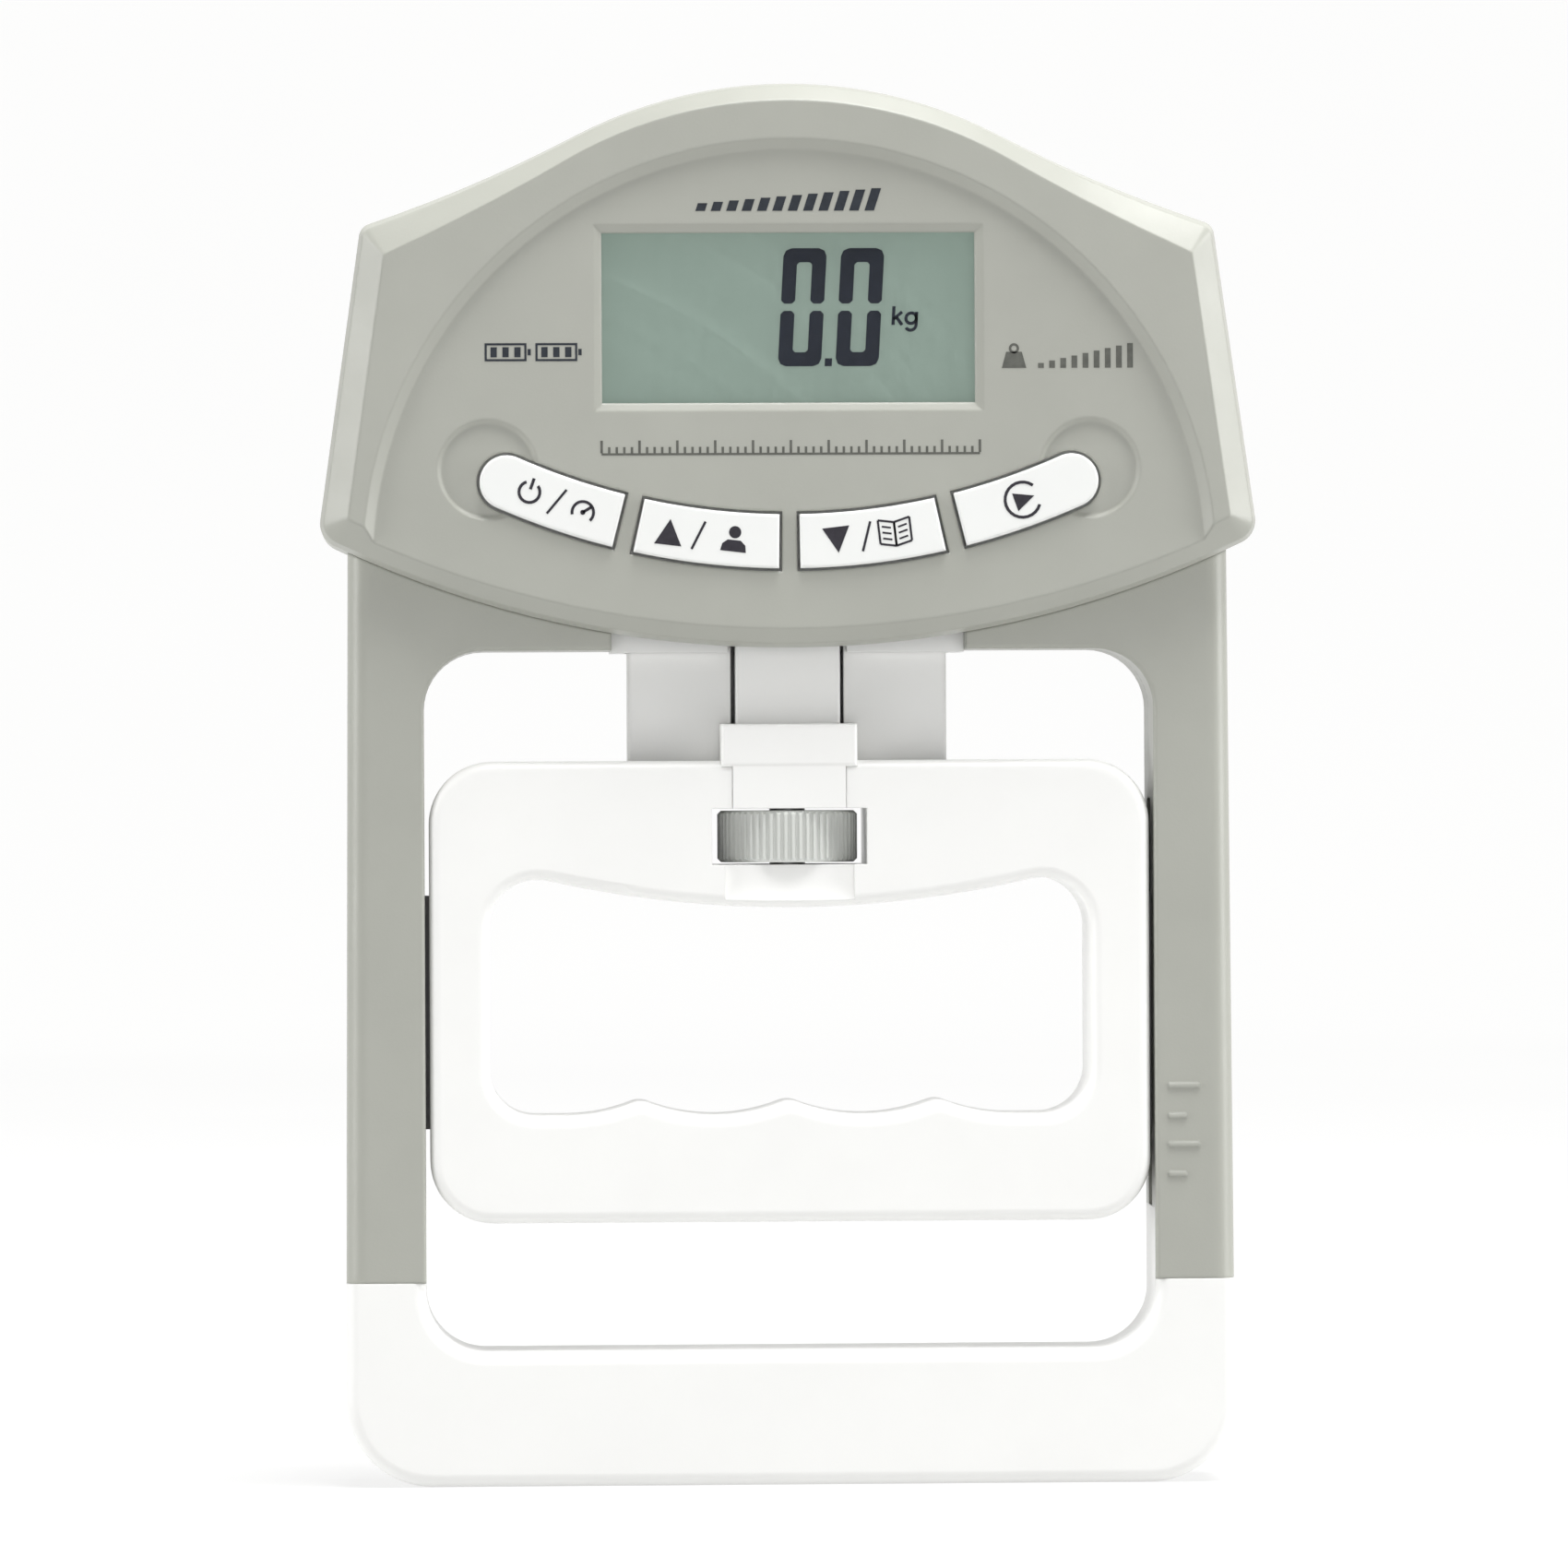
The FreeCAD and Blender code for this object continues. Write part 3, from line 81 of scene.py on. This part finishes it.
def srgb(r, g, b):
    """Linear colour from 0-255 display values."""
    def channel(v):
        v /= 255
        return v / 12.92 if v <= 0.04045 else ((v + 0.055) / 1.055) ** 2.4
    return (channel(r), channel(g), channel(b), 1.0)


def shade(colour, factor):
    """A colour made lighter or darker."""
    return tuple(min(1.0, c * factor) for c in colour[:3]) + (1.0,)


def grey(value):
    """A number as a colour, for ramps that drive a value."""
    return (value, value, value, 1.0)


# ---- materials ----
GREY = srgb(159, 160, 152)
WHITE = srgb(231, 231, 229)

# how round the edges look
SOFT_EDGE = 0.6 * MM
CRISP_EDGE = 0.3 * MM
SHARP = 0.0

# how much a plastic's colour varies
SPREAD = 0.025

# colour, roughness, depth of the grain, roundness of the edges, variation of the colour
PLASTICS = {
    "gray_abs": (GREY, 0.34, 0.012 * MM, SOFT_EDGE, SPREAD),
    "white_abs": (WHITE, 0.35, 0.005 * MM, CRISP_EDGE, 0.012),
    "white_keys": (srgb(226, 227, 225), 0.4, 0.004 * MM, CRISP_EDGE, 0.01),
    "gray_wheel": (srgb(200, 202, 198), 0.38, 0.008 * MM, SHARP, SPREAD),
    "runner_acetal": (srgb(165, 165, 166), 0.4, 0.006 * MM, SHARP, SPREAD),
    "zebra": (srgb(60, 60, 60), 0.7, 0.01 * MM, SHARP, SPREAD),
    "chip_black": (srgb(36, 36, 38), 0.5, 0.01 * MM, SHARP, SPREAD),
    "battery_skin": (srgb(40, 44, 52), 0.3, 0.004 * MM, SHARP, SPREAD),
    "wire": (srgb(150, 40, 34), 0.4, 0.004 * MM, SHARP, SPREAD),
}

# how many machining lines cross a metre, and how far they are broken up along X
MACHINED = 2500.0
BRUSHED = 60.0
TURNED = 900.0

# colour, roughness, break-up of the lines
METALS = {
    "strap_steel": ((0.56, 0.57, 0.58, 1), 0.32, BRUSHED),
    "screw_steel": ((0.62, 0.62, 0.62, 1), 0.25, TURNED),
    "cell_aluminium": ((0.78, 0.78, 0.79, 1), 0.3, BRUSHED),
    "gauge_foil": ((0.75, 0.5, 0.25, 1), 0.4, TURNED),
    "brass": ((0.78, 0.6, 0.3, 1), 0.28, TURNED),
    "contact_metal": ((0.72, 0.72, 0.72, 1), 0.25, TURNED),
}


def material(name):
    """A new material with its Principled shader."""
    made = bpy.data.materials.new(name)
    made.use_nodes = True
    return made, made.node_tree.nodes["Principled BSDF"]


def tune(target, **inputs):
    """Sets inputs of a node. Their names have underscores here in place of spaces."""
    for key, value in inputs.items():
        target.inputs[key.replace("_", " ")].default_value = value


def node(made, kind, **inputs):
    """A new node in a material or world, with its inputs set."""
    new = made.node_tree.nodes.new(kind)
    tune(new, **inputs)
    return new


def link(made, output, target):
    """Joins an output of one node to an input of another."""
    made.node_tree.links.new(output, target)


def noise(made, scale, detail=2.0):
    """Noise in the object's own space, scale in features per metre."""
    place = node(made, "ShaderNodeTexCoord")
    pattern = node(made, "ShaderNodeTexNoise", Scale=scale, Detail=detail, Roughness=0.55)
    link(made, place.outputs["Object"], pattern.inputs["Vector"])
    return pattern.outputs["Fac"]


def ramp(made, source, low, high):
    """The middle of the source's range mapped to a run between two colours."""
    steps = node(made, "ShaderNodeValToRGB")
    first, last = steps.color_ramp.elements
    first.position, first.color = 0.3, low
    last.position, last.color = 0.7, high
    link(made, source, steps.inputs["Fac"])
    return steps.outputs["Color"]


def tint(made, shader, source, colour, low, high):
    """Base colour that varies with source between two shades of a colour."""
    link(made, ramp(made, source, shade(colour, low), shade(colour, high)), shader.inputs["Base Color"])


def polish(made, shader, source, low, high):
    """Roughness that varies with source between two values."""
    link(made, ramp(made, source, grey(low), grey(high)), shader.inputs["Roughness"])


def bump(made, shader, source, depth, edge=SHARP):
    """Surface grain, over edges that catch the light as if rounded by edge metres."""
    grain = node(made, "ShaderNodeBump", Strength=1.0, Distance=depth)
    link(made, source, grain.inputs["Height"])
    if edge:
        rounded = node(made, "ShaderNodeBevel", Radius=edge)
        rounded.samples = 6
        link(made, rounded.outputs["Normal"], grain.inputs["Normal"])
    link(made, grain.outputs["Normal"], shader.inputs["Normal"])


def moulded(name, colour, rough, grain_depth, edge, spread):
    """Moulded plastic: faint flow mottle in the colour, a fine spark-eroded grain, uneven gloss."""
    made, shader = material(name)
    tint(made, shader, noise(made, 55.0, 3.0), colour, 1 - spread, 1 + spread)
    polish(made, shader, noise(made, 130.0, 4.0), rough - 0.05, rough + 0.06)
    bump(made, shader, noise(made, 2600.0), grain_depth, edge)
    tune(shader, Specular_IOR_Level=0.45)
    return made


def metal(name, colour, rough, broken):
    """Metal with fine machining lines along X."""
    made, shader = material(name)
    tune(shader, Metallic=1.0)
    place = node(made, "ShaderNodeTexCoord")
    stretch = node(made, "ShaderNodeMapping", Scale=(broken, MACHINED, MACHINED))
    pattern = node(made, "ShaderNodeTexNoise", Scale=1.0, Detail=3.0)
    link(made, place.outputs["Object"], stretch.inputs["Vector"])
    link(made, stretch.outputs["Vector"], pattern.inputs["Vector"])
    lines = pattern.outputs["Fac"]
    tint(made, shader, lines, colour, 0.9, 1.08)
    polish(made, shader, lines, rough - 0.06, rough + 0.1)
    bump(made, shader, lines, 0.01 * MM)
    return made


def clear_lens():
    """Clear acrylic, hardly visible but for its faintly uneven gloss."""
    made, shader = material("clear_lens")
    tune(shader, Base_Color=(0.2, 0.22, 0.21, 1), Alpha=0.03, Specular_IOR_Level=0.5)
    polish(made, shader, noise(made, 90.0), 0.03, 0.09)
    return made


def lcd_panel():
    """Reflective display: grey-green, with the very fine speckle of its diffuser and a faint cloud, and a
    painted glow in its own colour that lights it evenly where the window's walls would shade it.
    """
    made, shader = material("lcd_panel")
    tint(made, shader, noise(made, 38.0), srgb(119, 134, 126), 0.985, 1.015)
    tune(shader, Roughness=0.5, Specular_IOR_Level=0.15)
    # painted light: the display glows in its own colour so that it looks evenly lit and the window's walls
    # cast no shade on it
    tune(shader, Emission_Color=srgb(144, 160, 150), Emission_Strength=0.5)
    bump(made, shader, noise(made, 6000.0, 1.0), 0.004 * MM)
    return made


def ink(name, colour, rough):
    """Printed ink with slightly uneven density."""
    made, shader = material(name)
    tint(made, shader, noise(made, 900.0, 3.0), colour, 0.85, 1.15)
    tune(shader, Roughness=rough, Specular_IOR_Level=0.15)
    bump(made, shader, noise(made, 3000.0), 0.003 * MM)
    return made


def board_mask():
    """Green solder mask over a faint grid of copper tracks."""
    made, shader = material("board_mask")
    place = node(made, "ShaderNodeTexCoord")
    tracks = node(made, "ShaderNodeTexBrick", Scale=240.0, Mortar_Size=0.03)
    tune(tracks, Color1=(0.015, 0.12, 0.05, 1), Color2=(0.02, 0.15, 0.06, 1), Mortar=(0.05, 0.24, 0.1, 1))
    link(made, place.outputs["Object"], tracks.inputs["Vector"])
    link(made, tracks.outputs["Color"], shader.inputs["Base Color"])
    tune(shader, Roughness=0.3)
    return made


def slot_materials():
    """The material of every slot."""
    looks = {"lens": clear_lens(), "lcd": lcd_panel(), "board": board_mask()}
    looks.update({name: moulded(name, *look) for name, look in PLASTICS.items()})
    looks.update({name: metal(name, *look) for name, look in METALS.items()})
    return looks


def dress_nodes():
    """Gives every CAD node the material of its slot."""
    looks = slot_materials()
    for part in frame["record"]["subparts"]:
        slots = NODES[part["node"]].data.materials
        slots.clear()
        slots.append(looks[part["material_slot"]])


# ---- pieces ----
def piece(name, verts, faces, look, body):
    """A finished mesh that rides on a body."""
    mesh = bpy.data.meshes.new(name)
    mesh.from_pydata(verts, [], faces)
    mesh.validate()
    made = bpy.data.objects.new(name, mesh)
    bpy.context.scene.collection.objects.link(made)
    mesh.materials.append(look)
    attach(made, body)
    return made


def prints(name, outlines, y, thick, look, body):
    """Flat marks, each a polygon of (x, z) points in millimetres, standing thick proud of the plane y."""
    verts, faces = [], []
    for outline in outlines:
        n, start = len(outline), len(verts)
        verts += [(x * MM, y - thick, z * MM) for x, z in outline]
        verts += [(x * MM, y + MARK_ROOT, z * MM) for x, z in outline]
        faces.append(list(range(start, start + n)))
        faces.append(list(range(start + 2 * n - 1, start + n - 1, -1)))
        faces += [(start + i, start + n + i, start + n + (i + 1) % n, start + (i + 1) % n) for i in range(n)]
    made = piece(name, verts, faces, look, body)
    shell = bmesh.new()
    shell.from_mesh(made.data)
    bmesh.ops.triangulate(shell, faces=[f for f in shell.faces if len(f.verts) > 4])
    bmesh.ops.recalc_face_normals(shell, faces=shell.faces)
    shell.to_mesh(made.data)
    shell.free()


# ---- outlines of marks, in millimetres ----
def slanted(outline, base, lean):
    """Leans an outline to the right as it rises above base."""
    return [(x + (z - base) * math.tan(lean), z) for x, z in outline]


def bar(start, end, stroke):
    """A straight stroke with square ends."""
    (x0, z0), (x1, z1) = start, end
    length = math.hypot(x1 - x0, z1 - z0)
    nx, nz = (z1 - z0) / length * stroke / 2, (x0 - x1) / length * stroke / 2
    return [(x0 + nx, z0 + nz), (x1 + nx, z1 + nz), (x1 - nx, z1 - nz), (x0 - nx, z0 - nz)]


def points_round(x, z, radius, angles):
    """The points at these angles, in radians, round a middle."""
    return [(x + radius * math.cos(a), z + radius * math.sin(a)) for a in angles]


def disc(x, z, radius):
    """A filled circle."""
    count = 24
    return points_round(x, z, radius, [2 * math.pi * i / count for i in range(count)])


def arc(x, z, radius, stroke, start, end):
    """A curved stroke between two angles in degrees."""
    count = 20
    angles = [math.radians(start + (end - start) * i / count) for i in range(count + 1)]
    outer = points_round(x, z, radius + stroke / 2, angles)
    inner = points_round(x, z, radius - stroke / 2, angles)
    return outer + inner[::-1]


def triangle(x, half, base, tip):
    """A triangle 2 * half wide at its base."""
    return [(x - half, base), (x + half, base), (x, tip)]


def frame_of(low, high, stroke):
    """The four strokes of an upright rectangle."""
    (x0, z0), (x1, z1), h = low, high, stroke / 2
    return [bar((x0 - h, z0), (x1 + h, z0), stroke), bar((x0 - h, z1), (x1 + h, z1), stroke),
            bar((x0, z0 + h), (x0, z1 - h), stroke), bar((x1, z0 + h), (x1, z1 - h), stroke)]


# ---- marks on the display ----
def digit_half(width, height, stroke):
    """The lit arch over the upper half of a nought: three display bars run together, cut off at the ends."""
    cut, tip, nook = 1.1, 0.45, 0.35
    bend = cut * 0.3
    left = [(tip, 0), (0, tip), (0, height - cut), (bend, height - bend), (cut, height)]
    inside = [(stroke + nook, height - stroke), (stroke, height - stroke - nook),
              (stroke, tip), (stroke - tip, 0)]
    right = [(width - x, z) for x, z in left[::-1]]
    return left + right + [(width - x, z) for x, z in inside[::-1]] + inside


def unit_sign(x, z, height):
    """The unit kg in single strokes, standing on z."""
    stroke, bowl = height * 0.17, height * 0.28
    middle = x + height * 0.95
    stem = middle + bowl
    first = [bar((x, z), (x, z + height), stroke),
             bar((x, z + height * 0.3), (x + height * 0.45, z + height * 0.7), stroke),
             bar((x + height * 0.16, z + height * 0.42), (x + height * 0.48, z), stroke)]
    second = [arc(middle, z + height * 0.36, bowl, stroke, 0, 360),
              bar((stem, z + height * 0.7), (stem, z), stroke),
              arc(middle, z, bowl, stroke, -150, 0)]
    return first + second


def display_reading():
    """The reading 0.0 and its unit, as the dark electrodes of the display."""
    left, base, lean = -1.45, 155.6, math.radians(3.2)
    width, half, stroke, pitch, slit = 6.0, 8.2, 1.95, 8.0, 0.5
    point_width, point_height = 1.0, 1.1
    unit_left, unit_base, unit_height = 14.6, 161.3, 2.6

    arch = digit_half(width, half - slit, stroke)
    marks = []
    for x in (left, left + pitch):
        marks.append([(x + px, base + half + slit + pz) for px, pz in arch])
        marks.append([(x + px, base + half - slit - pz) for px, pz in arch])
    point = left + (width + pitch) / 2
    marks.append(bar((point, base), (point, base + point_height), point_width))
    figures = [slanted(mark, base, lean) for mark in marks]
    unit = [slanted(mark, unit_base, lean) for mark in unit_sign(unit_left, unit_base, unit_height)]

    look = ink("lcd_ink", srgb(30, 34, 44), 0.6)
    prints("display_reading", figures, GLASS_Y, ELECTRODE, look, "frame")
    prints("display_unit", unit, GLASS_Y, ELECTRODE, look, "frame")


# ---- signs on the sunk face ----
def rising_bars(low, high, count, lean):
    """Slanted bars that step up from left to right, from low to high."""
    (x0, z0), (x1, z1) = low, high
    pitch, fill, least = (x1 - x0) / count, 0.62, 0.35
    marks = []
    for i in range(count):
        x = x0 + pitch * (i + 1 - fill)
        top = z0 + (z1 - z0) * (least + (1 - least) * i / (count - 1))
        marks.append(slanted(bar((x, z0), (x, top), pitch * fill), z0, lean))
    return marks


def tick_scale(left, right, z, count, short, long):
    """A ruled line of ticks, every fifth one long."""
    line, tick = 0.3, 0.34
    marks = [bar((left, z), (right, z), line)]
    for i in range(count + 1):
        x = left + (right - left) * i / count
        marks.append(bar((x, z + line / 2), (x, z + (short if i % 5 else long)), tick))
    return marks


def battery_sign(x, z, height):
    """A row of two cells, each a box with its cap and three charge bars."""
    length, gap, stroke = height * 2.5, height * 0.7, 0.3
    cap_length, cap_width = 0.45, height * 0.4
    charge_width, inset = length * 0.16, 0.4
    marks = []
    for start in (x, x + length + gap):
        end, middle = start + length, z + height / 2
        marks += frame_of((start, z), (end, z + height), stroke)
        marks.append(bar((end + stroke, middle), (end + stroke + cap_length, middle), cap_width))
        for i in range(3):
            charge = start + length * (0.2 + 0.3 * i)
            marks.append(bar((charge, z + inset), (charge, z + height - inset), charge_width))
    return marks


def load_sign(x, z, height):
    """A hanging weight beside a row of force steps."""
    eye = arc(x + height * 0.5, z + height * 0.8, height * 0.16, height * 0.1, 0, 360)
    top, slope = z + height * 0.66, height * 0.18
    weight = [(x, z), (x + height, z), (x + height - slope, top), (x + slope, top)]
    marks = [eye, weight]
    first, pitch, width = x + height * 1.6, 1.55, 0.8
    for i in range(9):
        step = first + i * pitch
        marks.append(bar((step, z), (step, z + height * (0.2 + 0.1 * i)), width))
    return marks


def face_prints():
    """Plain signs round the display."""
    bold = ink("bold_ink", srgb(48, 52, 58), 0.5)
    fine = ink("fine_ink", srgb(92, 93, 88), 0.5)
    signs = {
        "head_bars": (rising_bars((-13.0, 177.1), (12.6, 180.2), 12, math.radians(18)), bold),
        "head_scale": (tick_scale(-26.0, 26.5, 143.4, 50, 1.0, 1.9), fine),
        "battery_sign": (battery_sign(-42.0, 156.5, 2.2), bold),
        "load_sign": (load_sign(29.6, 155.2, 3.4), fine),
    }
    for name, (marks, look) in signs.items():
        prints(name, marks, FACE_Y, PRINT, look, "frame")


# ---- signs on the keys: x along the key and z up it, from the key's middle ----
def slash(x):
    """The stroke between two signs."""
    return bar((x - 0.75, -2.0), (x + 0.75, 2.0), 0.34)


def power_icon():
    """A power sign, a slash and a dial with its pointer."""
    x, stroke = -3.9, 0.42
    power = [arc(x, 0, 1.45, stroke, -235, 55), bar((x, 0.4), (x, 2.0), stroke)]
    x, z, stroke = 4.0, -0.2, 0.4
    dial = [arc(x, z, 1.5, stroke, -30, 210), bar((x, z), (x + 0.9, z + 1.1), stroke), disc(x, z, 0.35)]
    return power + [slash(0.1)] + dial


def up_icon():
    """An up arrow, a slash and a person."""
    shoulders = [(1.8, -1.7), (5.4, -1.7), (5.2, -0.7), (4.5, -0.1), (2.7, -0.1), (2.0, -0.7)]
    return [triangle(-5.5, 1.9, -1.8, 1.8), slash(-1.4), disc(3.6, 1.0, 0.85), shoulders]


def down_icon():
    """A down arrow, a slash and an open book of stored readings."""
    spine, half, low, high, lift = 3.4, 2.2, -1.8, 1.5, 0.5
    outline, line, from_spine, from_edge = 0.3, 0.26, 0.5, 0.45
    book = []
    for side in (-1, 1):
        edge = spine + side * half
        corners = [(spine, low), (edge, low + lift), (edge, high + lift), (spine, high)]
        book += [bar(a, b, outline) for a, b in zip(corners, corners[1:] + corners[:1])]
        for row in (0.25, 0.5, 0.75):
            z = low + (high - low) * row
            start = (spine + side * from_spine, z + lift * 0.2)
            end = (edge - side * from_edge, z + lift * 0.8)
            book.append(bar(start, end, line))
    return [triangle(-4.7, 1.9, 1.8, -1.8), slash(-0.6)] + book


def start_icon():
    """A play sign in an open ring."""
    return [[(-1.1, -1.3), (1.7, 0.0), (-1.1, 1.3)], arc(0.0, 0.0, 2.45, 0.42, 35, 325)]


def on_key(outline, turn):
    """An outline laid along the keys' ring, turn radians round from its foot."""
    across, up = math.cos(turn), math.sin(turn)
    x, z = KEY_RING_R * up, KEY_RING_Z - KEY_RING_R * across
    return [(x + u * across - v * up, z + u * up + v * across) for u, v in outline]


def key_signs():
    """Each key's sign, which rides on its own key."""
    look = ink("key_ink", srgb(52, 50, 56), 0.5)
    icons = {"power_key": power_icon, "up_key": up_icon, "down_key": down_icon, "start_key": start_icon}
    for key, angle in KEY_ANGLES.items():
        laid = [on_key(mark, math.radians(angle)) for mark in icons[key]()]
        prints(key + "_sign", laid, KEY_Y, PRINT, look, key)


# ---- stage ----
def sweep_paper():
    """Pale paper that glows more the farther back it is."""
    made, shader = material("sweep_paper")
    link(made, ramp(made, noise(made, 3.0), grey(0.20), grey(0.21)), shader.inputs["Base Color"])
    split = node(made, "ShaderNodeSeparateXYZ")
    glow = node(made, "ShaderNodeMapRange", From_Min=-1.0, From_Max=2.6, To_Min=0.66, To_Max=0.84)
    link(made, node(made, "ShaderNodeTexCoord").outputs["Object"], split.inputs["Vector"])
    link(made, split.outputs["Y"], glow.inputs["Value"])
    link(made, glow.outputs["Result"], shader.inputs["Emission Strength"])
    tune(shader, Roughness=0.9, Specular_IOR_Level=0.0, Emission_Color=(1, 1, 0.995, 1))
    return made


def sweep():
    """A seamless sweep: floor in front, rising in a bend behind."""
    front, back, half_width = -3.2, 2.4, 3.2
    bend, rise, steps = 0.8, 3.0, 12
    turns = [math.pi / 2 * i / steps for i in range(steps + 1)]
    profile = [(front, 0.0)] + [(back + bend * math.sin(a), bend - bend * math.cos(a)) for a in turns]
    profile.append((back + bend, rise))
    verts = [(x, y, z) for y, z in profile for x in (-half_width, half_width)]
    faces = [(2 * i, 2 * i + 1, 2 * i + 3, 2 * i + 2) for i in range(len(profile) - 1)]
    mesh = bpy.data.meshes.new("sweep")
    mesh.from_pydata(verts, [], faces)
    floor = bpy.data.objects.new("sweep", mesh)
    bpy.context.scene.collection.objects.link(floor)
    mesh.materials.append(sweep_paper())
    for polygon in mesh.polygons:
        polygon.use_smooth = True


def area_light(name, place, size, power):
    """A soft box turned towards the middle of the view."""
    data = bpy.data.lights.new(name, "AREA")
    data.shape = "RECTANGLE"
    data.size, data.size_y = size
    data.energy = power
    made = bpy.data.objects.new(name, data)
    bpy.context.scene.collection.objects.link(made)
    made.location = place
    made.rotation_euler = (AIM - Vector(place)).to_track_quat("-Z", "Y").to_euler()


def light_tent():
    """The room as a tent of white cloth: dim in front, brighter to the sides and behind."""
    world = bpy.data.worlds.new("studio")
    bpy.context.scene.world = world
    world.use_nodes = True
    background = world.node_tree.nodes["Background"]
    split = node(world, "ShaderNodeSeparateXYZ")
    fade = node(world, "ShaderNodeMapRange", From_Min=-1.0, From_Max=0.1, To_Min=0.06, To_Max=0.62)
    link(world, node(world, "ShaderNodeTexCoord").outputs["Generated"], split.inputs["Vector"])
    link(world, split.outputs["Y"], fade.inputs["Value"])
    link(world, fade.outputs["Result"], background.inputs["Strength"])
    tune(background, Color=(1, 1, 1, 1))


def lights():
    """The tent and its soft boxes."""
    light_tent()
    for name, (place, size, power) in LIGHTS.items():
        area_light(name, place, size, power)


def camera():
    """The camera, and the plain view transform that the colours are chosen for."""
    data = bpy.data.cameras.new("camera")
    data.sensor_width = SENSOR
    data.lens = SENSOR * DISTANCE / VIEW_WIDTH
    made = bpy.data.objects.new("camera", data)
    bpy.context.scene.collection.objects.link(made)
    away = Vector((-math.sin(VIEW_SIDE), -math.cos(VIEW_SIDE), 0.0))
    turn = (-away).to_track_quat("-Z", "Y").to_matrix().to_4x4() @ Matrix.Rotation(-VIEW_ROLL, 4, "Z")
    made.matrix_world = Matrix.Translation(AIM + away * DISTANCE) @ turn
    bpy.context.scene.camera = made
    bpy.context.scene.view_settings.view_transform = "Standard"


camera()
lights()
sweep()
dress_nodes()
display_reading()
face_prints()
key_signs()
